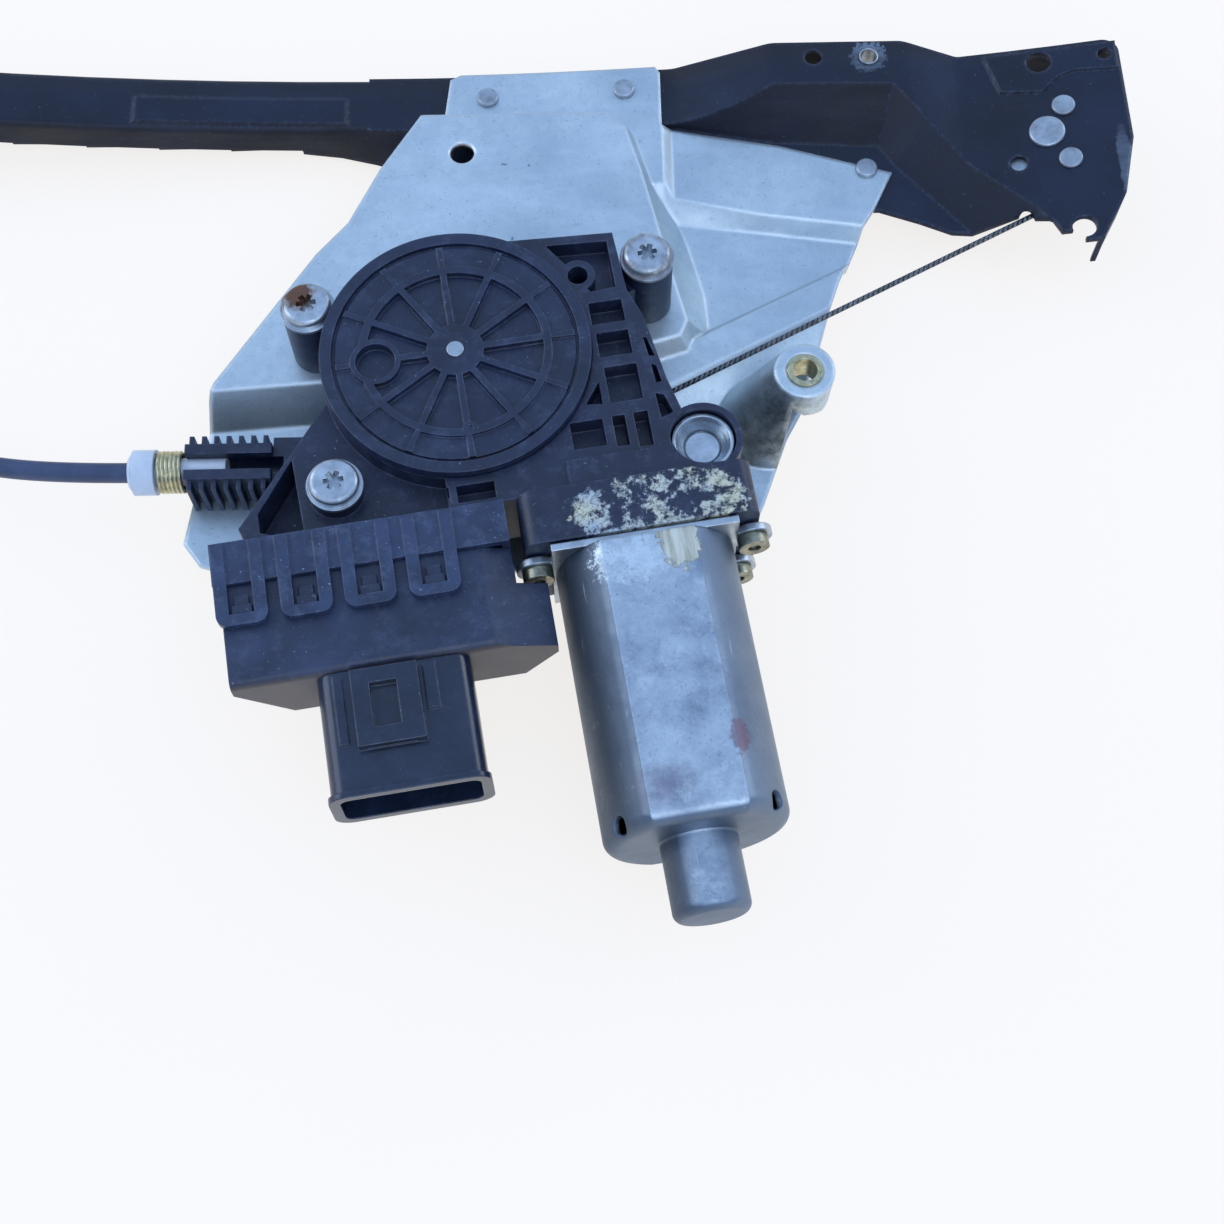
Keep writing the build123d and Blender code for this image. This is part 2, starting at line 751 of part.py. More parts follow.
def make_gear_housing():
    """Moulded gear case: round pot, ribbed block over the worm, wing, bolt posts and motor neck."""
    case = rod(0, 0, pot_floor, pot_top, pot_radius)
    case += prism(body_outline, pot_floor, body_top)
    case += prism(wing_outline, pot_floor, wing_top)
    neck = block(neck_low, neck_high, -60.0, -45.0, -21.0, neck_top)
    neck = fillet(neck.edges().filter_by(Axis.Y), 4.0)
    case += neck
    case += block(24.0, 62.0, -47.0, -37.0, pot_floor, neck_top - 2.0)
    case += along_motor(worm_bore + 1.1, -60.0, 22.0)
    for u, v in bolt_places:
        low = platform_z + fit if v > 0 else pot_floor
        case += rod(u, v, low, bolt_post_top, bolt_post_radius)
        case += prism(((u, v - 4), (u * 0.7, v * 0.7 - 4), (u * 0.7, v * 0.7 + 4), (u, v + 4)), pot_floor, 3.0)
    case += rod(*socket_place, pot_floor, 9.5, socket_radius)
    case -= rod(0, 0, pot_floor + 2.2, pot_top + 5, pot_radius - pot_wall)
    case -= along_motor(worm_bore, -61.0, 20.0)
    case -= along_motor(16.0, -61.0, -48.0)
    case += ring(0, 0, pot_floor + 2.2, pot_floor + 4.0, 11.0, 8.6)
    case -= rod(0, 0, pot_floor - 1, 0, 8.6)
    for u0, u1, v0, v1 in pocket_boxes:
        case -= block(u0, u1, v0, v1, 5.2, 20)
    for outline in pocket_outlines:
        floor = -8.0 if outline[0][0] < 0 else 5.2
        case -= prism(outline, floor, 20)
    case += ring(36.2, 18.9, 5.0, body_top, 4.8, 2.8)
    case -= rod(0, 0, pot_top, 20, pot_radius + 0.15)
    case -= rod(36.2, 18.9, 0, 20, 2.8)
    for u, v in bolt_places:
        case -= rod(u, v, -30, 20, 4.4)
        case -= rod(u, v, bolt_post_top, 20, bolt_head_radius + 1.3)
    case -= rod(*socket_place, -5.0, 20, socket_bore)
    return at_unit(max(case.solids(), key=lambda solid: solid.volume))


hub_radius = 7.65
pocket_outer = 23.7
cover_rim_inner = 32.7
boss_place = 21.5
gate_place = (0.6, -24.1)


def make_cover():
    """Round lid with twelve wedge pockets, a ring rib and twelve outer ribs."""
    low = pot_top + fit
    floor = cover_top - 1.9
    lid = rod(0, 0, low, floor, pot_radius)
    lid += ring(0, 0, low, cover_top - 0.3, pot_radius, cover_rim_inner + 0.5)
    lid += ring(0, 0, low, cover_top - 1.0, cover_rim_inner - 0.5, pocket_outer)
    lid += ring(0, 0, low, cover_top, pocket_outer + 2.2, pocket_outer)
    lid += rod(0, 0, low, cover_top, hub_radius)
    for turn in range(0, 360, 30):
        spoke = block(hub_radius - 1, pocket_outer + 1, -0.9, 0.9, low, cover_top)
        outer = prism(((pocket_outer, -0.7), (cover_rim_inner - 0.5, -0.9), (cover_rim_inner - 0.5, 0.9),
                       (pocket_outer, 0.7)), low, cover_top - 0.2)
        lid += Rot(0, 0, turn) * (spoke + outer)
    lid += rod(-boss_place, 0, low, cover_top, 6.8)
    lid -= rod(-boss_place, 0, floor - 1.2, 20, 5.3)
    lid -= rod(0, 0, 0, 20, axle_pin_radius + fit)
    lid += ring(*gate_place, floor - 0.5, cover_top + 0.2, 2.0, 0.9)
    return at_unit(lid)


def make_axle_pin():
    """Steel pin that carries worm wheel and drum from the lid to the drum case."""
    return rod(axle_x, axle_y, drum_housing_floor, cover_top + 0.3, axle_pin_radius)


def make_bolts():
    """Three pan-head bolts with six-lobed sockets."""
    bolts = []
    for u, v in bolt_places:
        seat = bolt_post_top + fit
        head = rod(u, v, seat, seat + bolt_head_height, bolt_head_radius)
        head = fillet(head.edges().sort_by(Axis.Z)[-1], 1.6)
        head += rod(u, v, seat, seat + 1.0, bolt_head_radius + 0.9)
        for turn in range(3):
            slot = Pos(u, v, seat + bolt_head_height - 1.2) * Rot(0, 0, 60 * turn) * Box(5.4, 1.5, 2.5)
            head -= slot
        end = platform_z - 8.0 if v > 0 else field_z - 8.0
        bolts.append(at_unit(head + rod(u, v, end, seat, bolt_radius)))
    return bolts


def make_sleeves():
    """Steel sleeves that keep the bolts from crushing the plastic posts."""
    sleeves = []
    for u, v in bolt_places:
        low = platform_z + fit if v > 0 else pot_floor
        sleeves.append(at_unit(ring(u, v, low, bolt_post_top, 4.4 - fit, bolt_radius + bolt_clearance)))
    return sleeves


def make_plate_nuts():
    """Press nuts behind the plate for the unit's three bolts."""
    nuts = []
    for u, v in bolt_places:
        top = (platform_z if v > 0 else field_z) - plate_sheet - fit
        nut = Pos(u, v, top - 2.5) * extrude(RegularPolygon(5.8, 6), 5.0, both=False)
        nut = Pos(0, 0, -2.5) * nut
        nuts.append(at_unit(nut - rod(u, v, -60, 0, bolt_radius + fit)))
    return nuts


def make_cup():
    """Bright dished cup with a flat middle, pressed into the round socket."""
    profile = Polygon(
        (0, 3.6), (4.75, 3.6), (5.3, 4.4), (7.4, 7.6), (cup_radius, 7.6), (cup_radius, 7.0), (7.6, 6.9),
        (5.6, 3.6), (5.0, 2.9), (0, 2.9), align=None,
    )
    cup = revolve(Plane.XZ * profile, Axis.Z)
    stem = rod(0, 0, -5.0 + fit, 2.9, 5.0)
    return at_unit(Pos(*socket_place, 0) * (cup + stem))


def along_motor(radius, v_start, v_end):
    """Cylinder on the motor's axis."""
    middle = (v_start + v_end) / 2
    return Pos(motor_u, middle, motor_z) * Rot(90, 0, 0) * Cylinder(radius, abs(v_end - v_start))


def make_can():
    """Deep-drawn motor can with two flats and a bearing nub on its end."""
    can = along_motor(can_radius, can_start, can_end)
    can &= block(0, 100, -200, 0, motor_z - can_flat, motor_z + can_flat)
    end_edges = [edge for edge in can.edges() if abs(edge.center().Y - can_end) < 0.01]
    can = fillet(end_edges, 3.5)
    hollow = along_motor(can_radius - can_wall, can_start + 1, can_end + can_wall)
    hollow &= block(0, 100, -200, 0, motor_z - can_flat + can_wall, motor_z + can_flat - can_wall)
    nub = along_motor(nub_radius, can_end + 2, nub_end)
    nub = fillet(nub.edges().sort_by(Axis.Y)[0], 2.5)
    can = can + nub - hollow
    for side in (-1, 1):
        can -= Pos(motor_u + side * 19.4, can_end + 3.2, motor_z + 13.0) * Sphere(2.6)
    return at_unit(can - along_motor(nub_radius - can_wall, can_end + 3, nub_end + can_wall))


screw_places = ((neck_low + 2.5, 2.5), (neck_high - 2.0, 2.5), (neck_high - 5.0, -17.0))


def make_flange():
    """Steel flange of the can, with an ear for each screw."""
    low, high = can_start + fit, can_start + flange_sheet
    face = block(16, 65, low, high, -21.0, 14.0)
    for u, z in screw_places:
        face += Pos(u, (low + high) / 2, z) * Rot(90, 0, 0) * Cylinder(5.4, high - low)
        face += block(min(u, 40), max(u, 40), low, high, z - 4, z + 4)
    for u, z in screw_places:
        face -= Pos(u, low, z) * Rot(90, 0, 0) * Cylinder(2.1, 10)
    return at_unit(face - along_motor(16.0, -70, -50))


def make_motor_screws():
    """Silver screws through the can's flange into the gear case."""
    screws = []
    for u, z in screw_places:
        head = Pos(u, can_start - 1.55, z) * Rot(90, 0, 0) * Cylinder(4.1, 3.0)
        head -= Pos(u, can_start - 3.0, z) * Rot(90, 0, 0) * Cylinder(1.7, 2.4)
        shank = Pos(u, can_start + 1.2, z) * Rot(90, 0, 0) * Cylinder(2.0, 2.6)
        screws.append(at_unit(head + shank))
    return screws


def make_magnets():
    """Two curved magnets inside the can."""
    shell = along_motor(can_radius - can_wall - fit, -74, -126) - along_motor(17.2, -70, -130)
    halves = []
    for side in (-1, 1):
        halves.append(at_unit(shell & block(*sorted((motor_u + side * 8, motor_u + side * 30)), -130, -70, -18, 10)))
    return halves


def make_brush_holder():
    """Brush carrier in the gear case's neck."""
    holder = along_motor(15.8, -60.4, -49) - along_motor(9.0, -61, -48)
    holder += block(motor_u - 14, motor_u - 9.2, -60, -50, motor_z - 2, motor_z + 2)
    return at_unit(holder)


def make_bearings():
    """Sintered bushes at both ends of the motor shaft."""
    bore = 2.5 + gap / 5
    far = along_motor(nub_radius - can_wall - fit, nub_end + can_wall + fit, -148) - along_motor(bore, -170, -140)
    near = along_motor(worm_bore - fit, -46, -40) - along_motor(bore, -50, -36)
    return [at_unit(far), at_unit(near)]


def make_shaft():
    """Motor shaft from the can's nub to the end of the worm."""
    return at_unit(along_motor(2.5, nub_end + can_wall + 0.6, 17.0))


def make_core():
    """Slotted armature core."""
    core = along_motor(15.0, -124, -78) - along_motor(2.5 + fit, -130, -70)
    for turn in range(0, 360, 45):
        slot = Pos(motor_u, -101, motor_z) * Rot(0, turn, 0) * Pos(12.0, 0, 0) * Box(8.0, 50, 1.6)
        core -= slot
    return at_unit(core)


def make_windings():
    """Wound copper heads at both ends of the core."""
    heads = []
    for start, end in ((-131.0, -124.2), (-77.8, -72.0)):
        heads.append(at_unit(along_motor(12.5, start, end) - along_motor(2.5 + fit, start - 1, end + 1)))
    return heads


def make_commutator():
    """Copper commutator under the brushes."""
    return at_unit(along_motor(7.5, -66, -51) - along_motor(2.5 + fit, -70, -50))


def make_worm():
    """Single-start worm on the shaft."""
    root = worm_pitch - 0.9
    tip = worm_pitch + addendum
    turns = worm_turns
    length = worm_lead * turns
    half = (tooth_width / 2, tooth_width / 2 * 0.55)
    path = Helix(pitch=worm_lead, height=length, radius=worm_pitch)
    profile = Polygon(
        (root - 0.3 - worm_pitch, -half[0] - 0.25), (tip - worm_pitch, -half[1]), (tip - worm_pitch, half[1]),
        (root - 0.3 - worm_pitch, half[0] + 0.25), align=None,
    )
    section = Plane(origin=(worm_pitch, 0, 0), x_dir=(1, 0, 0), z_dir=(0, 1, 0)) * (Rot(0, 0, 0) * profile)
    thread = sweep(section, path, is_frenet=True)
    core = Pos(0, 0, length / 2) * Cylinder(root, length + 4)
    screw = thread + core
    screw = screw & (Pos(0, 0, length / 2) * Cylinder(20, length + 4))
    screw -= Pos(0, 0, length / 2) * Cylinder(2.5 + fit, length + 10)
    place = Plane(origin=(motor_u, -length / 2 + 0.5 * worm_lead * ((turns + 1) % 2), motor_z), x_dir=(-1, 0, 0), z_dir=(0, 1, 0))
    return at_unit(place.location * screw)


def make_worm_wheel():
    """Plastic worm wheel with thinned teeth, a rim, a web and six drive pockets."""
    root = wheel_pitch - 1.0
    wheel = Cylinder(root, wheel_face) - Pos(0, 0, 5) * Cylinder(root - 3.0, wheel_face)
    wheel += Cylinder(12.0, wheel_face)
    wheel -= Cylinder(axle_pin_radius + gap / 3, 40)
    tooth = Polygon(
        (root - 0.2, -0.85), (wheel_pitch + addendum, -0.35), (wheel_pitch + addendum, 0.35), (root - 0.2, 0.85),
        align=None,
    )
    tooth = Pos(0, 0, -wheel_face / 2) * extrude(tooth, wheel_face, dir=(0, 0, 1))
    teeth = [Rot(0, 0, 360 / wheel_teeth * n) * tooth for n in range(wheel_teeth)]
    wheel = wheel + teeth
    return at_unit(Pos(0, 0, motor_z) * wheel)


def make_damper():
    """Rubber damper that sits in the wheel's dish."""
    ring_height = 2.6
    low = motor_z + 1.0 + fit
    return at_unit(ring(0, 0, low, low + ring_height, wheel_pitch - 4.2, 12.2))


def make_drive_hub():
    """Hub that passes the wheel's turn down to the drum."""
    low = drum_z + drum_height / 2 + fit
    hub = rod(0, 0, low, motor_z - wheel_face / 2 - fit, 8.2)
    return at_unit(hub - rod(0, 0, low - 1, 0, axle_pin_radius + gap / 3))


def make_drum():
    """Cable drum with its groove turns and two nipple pockets."""
    low, high = drum_z - drum_height / 2, drum_z + drum_height / 2
    drum = rod(0, 0, low, high, drum_cable + 1.1)
    for z in (drum_z - 2.8, drum_z, drum_z + 2.8):
        width = 1.25 if z == drum_z else 0.95
        drum -= ring(0, 0, z - width, z + width, 40, drum_cable - cable_diameter / 2 - 0.15)
    drum -= ring(0, 0, drum_z + 2, high + 1, 19.0, 10.0)
    drum -= rod(0, 0, low - 1, high + 1, axle_pin_radius + gap / 3)
    return Pos(axle_x, axle_y, 0) * drum


def make_wraps():
    """Turns of cable that lie in the drum's outer grooves."""
    wraps = []
    for z in (drum_z - 2.8, drum_z + 2.8):
        wraps.append(Pos(axle_x, axle_y, z) * Torus(drum_cable, cable_diameter / 2))
    return wraps


def tube_between(start, end, radius):
    """Straight round bar between two points."""
    start, end = Vector(start), Vector(end)
    run = end - start
    bar = Cylinder(radius, run.length, align=(Align.CENTER, Align.CENTER, Align.MIN))
    return Plane(origin=start, z_dir=run.normalized()).location * bar


def make_cable():
    """Bare cable: drum to right pulley, along the rail, round the left pulley to its sheath."""
    radius = cable_diameter / 2
    run = tube_between(cable_start, cable_end, radius)
    section = Plane.XZ * Pos(pulley_cable, 0) * Circle(radius)
    start_turn = degrees(cable_side)
    wrap = revolve(section, Axis.Z, 90 - start_turn)
    wrap = pulley_plane.location * Rot(0, 0, start_turn) * wrap
    depth = rail_radius + cable_depth
    first = degrees(asin((left_pulley_x - arc_x) / depth))
    last = degrees(asin((right_pulley_x - arc_x) / depth))
    along = revolve(Plane.YZ * Pos(cable_y, -depth) * Circle(radius), Axis.Y, last - first)
    along = Pos(arc_x, 0, arc_z) * Rot(0, -last, 0) * along
    left = left_plane.location * Rot(0, 0, 90) * revolve(section, Axis.Z, 180)
    lead = left_plane.location * Pos(0, -pulley_cable, 0) * Rot(0, 90, 0)
    lead = lead * Cylinder(radius, sheath_start, align=(Align.CENTER, Align.CENTER, Align.MIN))
    return run + wrap + along + left + lead


def make_return_cable():
    """Bare end of the sheathed cable, from the sheath's end to the drum."""
    start = (ferrule_left + 8.0 + 4 * fit, arm_y, arm_z)
    return tube_between(start, (axle_x, axle_y - drum_cable, drum_z), cable_diameter / 2)


sheath_start = 34.0
sheath_lead = 28.0
sheath_route = (
    (-338.0, 54.5, -6.8),
    (-313.0, 39.0, -12.5),
    (-289.0, 19.0, -16.0),
    (-264.0, -1.0, -17.2),
    (-236.0, -14.6, -17.4),
    (-206.5, arm_y, arm_z),
)


def sheath_ends():
    """Where the sheath starts in its left ferrule and ends in the tensioner's."""
    start = left_plane.location * Pos(sheath_start + 1.0, -pulley_cable, 0)
    lead = left_plane.location * Pos(sheath_start + 1.0 + sheath_lead, -pulley_cable, 0)
    return tuple(start.position), tuple(lead.position), (ferrule_left + 8.0, arm_y, arm_z)


def make_sheath():
    """Plastic-coated wound sheath from the left pulley to the tensioner."""
    start, lead, end = sheath_ends()
    points = [Vector(point) for point in (start, lead, *sheath_route, end)]
    print("sheath lead", [round(value, 1) for value in lead])
    radii = []
    for before, here, after in zip(points, points[1:], points[2:]):
        into, out = here - before, after - here
        turn = radians(into.get_angle(out))
        radii.append(0.45 * min(into.length, out.length) / (sin(turn / 2) / cos(turn / 2)))
    print("sheath arc radii", [round(radius) for radius in radii])
    path = FilletPolyline(*points, radius=radii)
    first = Plane(origin=path @ 0, z_dir=path % 0)
    tube = sweep(first * Circle(sheath_diameter / 2), path)
    expected = pi * (sheath_diameter / 2) ** 2 * path.length
    print("sheath length", round(path.length, 1), "volume share", round(tube.volume / expected, 4))
    return tube


def make_end_ferrule():
    """Crimped sheath end that sits in the left guide."""
    sleeve = Pos(sheath_start + 2.0, -pulley_cable, 0) * Rot(0, 90, 0) * Cylinder(3.9, 12.0)
    sleeve -= Pos(sheath_start + 5.0, -pulley_cable, 0) * Rot(0, 90, 0) * Cylinder(sheath_diameter / 2 + fit, 8.2)
    sleeve -= Pos(sheath_start, -pulley_cable, 0) * Rot(0, 90, 0) * Cylinder(1.0, 40)
    return left_plane.location * sleeve


def make_sheath_guide():
    """Plastic block under the left end plate that holds the sheath's end."""
    top = cable_depth - sheet - fit
    guide = block(sheath_start - 8, sheath_start + 7, -pulley_cable - 6.0, -pulley_cable + 5.6, -5.0, top)
    guide -= Pos(sheath_start + 2.0, -pulley_cable, 0) * Rot(0, 90, 0) * Cylinder(3.9 + fit, 12.1)
    guide -= Pos(sheath_start, -pulley_cable, 0) * Rot(0, 90, 0) * Cylinder(3.4, 40)
    return left_plane.location * guide & arc_block(30, 80, sheet + fit, 30, -420, -370)


def make_ferrule():
    """White tensioner ferrule with the stem that slides in the arm."""
    profile = Polygon(
        (ferrule_left, 4.6), (ferrule_left + 1.2, 5.9), (ferrule_left + 1.2, 6.35), (spring_left, 6.35),
        (spring_left, 3.9), (arm_left + 11, 3.9), (arm_left + 11, 2.2), (-176.0, 2.2), (-176.0, 2.95),
        (ferrule_left, 2.95), align=None,
    )
    return Pos(0, arm_y, arm_z) * revolve(profile, Axis.X)


def make_spring():
    """Yellow tensioner spring between ferrule and arm."""
    length = arm_left - spring_left - spring_wire - 2 * fit
    path = Helix(pitch=length / spring_turns, height=length, radius=spring_radius)
    section = Plane(origin=path @ 0, z_dir=path % 0) * Circle(spring_wire / 2)
    coil = sweep(section, path, is_frenet=True)
    return Pos(spring_left + spring_wire / 2 + fit, arm_y, arm_z) * Rot(0, 90, 0) * coil


slider_low, slider_high = 99.2, 114.3
slider_top = sheet + 2.0
slider_floor = channel_depth - sheet - 0.4
plate_depth = 13.0
plate_thick = 2.0
half_slot = track_slot / 2 - 0.5
nipple_y = 110.0
stop_gap = 2.5
stop_length = 4.5


def make_slider():
    """Plastic slider inside the channel, its neck in the slot and its foot on the carrier's plate."""
    left, right = carrier_x - slider_length / 2, carrier_x + slider_length / 2
    slider = arc_block(slider_low, slider_high, slider_top, slider_floor, left, right)
    slider += arc_block(web_middle - half_slot, web_middle + half_slot, slider_floor, plate_depth - fit, left, right)
    slider -= arc_block(90, cable_y + 1.9, cable_depth - 1.7, cable_depth + 1.7, left - 5, right + 5)
    for end in (left + 8, right - 8):
        slider -= on_arc(end, web_middle, 0).location * Pos(0, 0, -slider_top) * Cylinder(2.1, 40)
    for end in (left + 2, right - 2):
        slider -= on_arc(end, nipple_y, cable_depth).location * Rot(0, 90, 0) * Cylinder(1.9 + fit, 4.4)
    return slider


def make_carrier_plate():
    """Steel plate that carries the glass socket, bent to the rail's radius."""
    left, right = carrier_x - carrier_length / 2, carrier_x + carrier_length / 2
    plate = arc_block(carrier_low, 115.0, plate_depth, plate_depth + plate_thick, left, right)
    corners = prism(((left + 1, 100), (left + 14, carrier_low), (right - 14, carrier_low), (right - 1, 100),
                     (right - 1, 116), (left + 1, 116)), -60, 60)
    plate &= corners
    for end in (carrier_x - slider_length / 2 + 8, carrier_x + slider_length / 2 - 8):
        plate -= on_arc(end, web_middle, 0).location * Cylinder(2.1, 60)
    return plate - on_arc(carrier_x, socket_y, 0).location * Cylinder(8.2, 60)


def make_carrier_rivets():
    """Two rivets that join slider and plate."""
    rivets = []
    for end in (carrier_x - slider_length / 2 + 8, carrier_x + slider_length / 2 - 8):
        place = on_arc(end, web_middle, 0).location
        low = -(plate_depth + plate_thick + 1.5)
        rivet = Pos(0, 0, low) * Cylinder(2.0, -low - slider_top - 1, align=(Align.CENTER, Align.CENTER, Align.MIN))
        rivet += Pos(0, 0, low) * Cylinder(4.0, 1.45, align=(Align.CENTER, Align.CENTER, Align.MIN))
        rivets.append(place * rivet)
    return rivets


def make_glass_socket():
    """Plastic socket that the glass clamp snaps into."""
    place = on_arc(carrier_x, socket_y, 0).location
    tall = Pos(0, 0, -(plate_depth + 3.0)) * Cylinder(8.1, 7.6)
    tall += Pos(0, 0, -(plate_depth + plate_thick + 2.6)) * Cylinder(11.0, 5.0)
    tall -= Pos(0, 0, -20) * Cylinder(5.0, 40)
    return place * tall


def make_nipples():
    """Cable end nipples in the slider's two ends."""
    nipples = []
    for end in (carrier_x - slider_length / 2 + 2.0, carrier_x + slider_length / 2 - 2.0):
        place = on_arc(end, nipple_y, cable_depth).location
        nipples.append(place * Rot(0, 90, 0) * Cylinder(1.9, 3.6))
    return nipples


def make_buffers():
    """Rubber end stops in the channel, clear of the cable."""
    left = carrier_x - slider_length / 2 - stop_gap
    return [
        arc_block(104.0, 114.6, sheet + fit, 9.5, left - stop_length, left),
        arc_block(99.4, 109.8, 8.0, channel_depth - sheet - fit, track_end - stop_length - 0.5, track_end - 0.5),
    ]


clip_centres = (-63.6, -47.1, -30.9, -14.4)
clip_width = 13.2
clip_window = 6.4
clip_reach = 11.8
cover_back = -45.2
cover_rise = 1.6
box_step_u = 6.0
box_step_v = -67.0
box_slope_lines = (
    ((box_left, 5.0), (box_left + 13.0, box_low)),
    ((box_right - 9.0, box_low), (box_right, 0.0)),
    ((box_right, 4.5), (-2.0, box_high)),
)


def box_slopes(inset):
    """Corners cut off along the box, each given by two points across it and set in by a wall."""
    slopes = []
    for (u0, z0), (u1, z1) in box_slope_lines:
        length = hypot(u1 - u0, z1 - z0)
        along = Vector((u1 - u0) / length, (z1 - z0) / length)
        out = Vector(along.Y, -along.X)
        start = Vector(u0, z0) - out * inset
        corners = [start - along * 40, start + along * 60, start + along * 60 + out * 30, start - along * 40 + out * 30]
        outline = Polygon(*[(corner.X, corner.Y) for corner in corners], align=None)
        slopes.append(Pos(0, (box_front + box_back) / 2, 0) * extrude(Plane.XZ * outline, 40, both=True))
    return slopes


def make_electronics_housing():
    """Main shell of the control box, stepped round the motor flange's ear, with four snap noses."""
    outline = (
        (box_left, box_front), (box_right, box_front), (box_right, box_step_v), (box_step_u, box_step_v),
        (box_step_u, box_back), (box_left, box_back),
    )
    shell = prism(outline, box_low, box_high)
    top_edges = shell.edges().filter_by(Axis.X).group_by(Axis.Z)[-1]
    shell = fillet(top_edges.sort_by(Axis.Y)[0], 2.5)
    wall = box_wall
    hollow_outline = (
        (box_left + wall, box_front + wall), (box_right - wall, box_front + wall),
        (box_right - wall, box_step_v - wall), (box_step_u - wall, box_step_v - wall),
        (box_step_u - wall, box_back + 1), (box_left + wall, box_back + 1),
    )
    hollow = prism(hollow_outline, box_low + wall, box_high - wall)
    for outer, inner in zip(box_slopes(0), box_slopes(wall)):
        shell -= outer
        hollow -= inner
    shell -= hollow
    shell -= block(shroud_left + 4, shroud_right - 4, box_front - 1, box_front + 4, -6, 6)
    low = box_back - clip_reach + 3.0
    for centre in clip_centres:
        shell += block(centre - 2.6, centre + 2.6, low + 0.3, low + 2.6, box_high - 0.5, box_high + 1.7)
        shell += block(centre - 1.9, centre + 1.9, low + 2.6, low + 5.6, box_high - 0.5, box_high + 0.9)
    return at_unit(shell)


def make_electronics_cover():
    """Tray between gear case and box, with four U-shaped snap straps over the box's face."""
    cover = block(box_left - 1.5, box_step_u, box_back + fit, cover_back, box_low, box_high + cover_rise)
    cover -= block(box_left + 1, box_step_u - 2, box_back - 1, cover_back - 2, box_low + 2, box_high - 0.8)
    for centre in clip_centres:
        low = box_back - clip_reach
        strap = block(centre - clip_width / 2, centre + clip_width / 2, low, cover_back - 0.6, box_high + fit,
                      box_high + cover_rise + 0.9)
        strap = fillet(strap.edges().filter_by(Axis.Z).sort_by(Axis.Y)[0:2], 3.0)
        strap -= block(centre - clip_window / 2, centre + clip_window / 2, low + 3.0, cover_back + 1,
                       box_high - 1, box_high + 5)
        cover += strap
    return at_unit(cover)


def make_board():
    """Circuit board of the control box."""
    return at_unit(block(box_left + 9.5, box_step_u - 3, box_front + 5 + fit, box_back - 0.5, -3.0, -1.4))


def make_shroud():
    """Plug shroud with its latch frame, open towards the wiring."""
    middle_u, middle_z = (shroud_left + shroud_right) / 2, (shroud_low + shroud_high) / 2
    width, height = shroud_right - shroud_left, shroud_high - shroud_low
    plane = Plane(origin=(middle_u, box_front - fit, middle_z), x_dir=(1, 0, 0), z_dir=(0, -1, 0))
    length = box_front - fit - shroud_end
    outer = extrude(plane * RectangleRounded(width, height, 4.5), length)
    inner = extrude(plane.offset(4) * RectangleRounded(width - 2 * shroud_wall, height - 2 * shroud_wall, 2.8), length)
    rim_plane = plane.offset(length - 1.6)
    outer += extrude(rim_plane * RectangleRounded(width + 1.6, height + 1.6, 5.0), 1.6)
    shroud = outer - inner
    top = shroud_high
    frame = block(-39.0, -22.0, -105.8, box_front - 1.0, top - 0.1, top + 3.0)
    frame -= block(-34.4, -27.6, -101.2, -89.6, top + 0.4, top + 4)
    frame -= block(-37.0, -24.0, -107, -104.4, top + 0.4, top + 1.8)
    shroud += frame
    shroud += block(-20.8, -17.6, -98.0, box_front - 1.0, top - 0.1, top + 0.9)
    shroud += block(-43.6, -41.2, -104.0, box_front - 1.0, top - 0.1, top + 0.7)
    for n in range(8):
        shroud -= block(-43.0 + 3.8 * n, -42.2 + 3.8 * n, box_front - 5, box_front + 1, -3.1, -2.3)
    return at_unit(shroud)


def make_pins():
    """Row of flat contacts in the plug shroud."""
    pins = []
    for n in range(8):
        pins.append(at_unit(block(-43.0 + 3.8 * n + fit, -42.2 + 3.8 * n - fit, -104.0, box_front + 5.0,
                                  -3.1 + fit, -2.3 - fit)))
    return pins


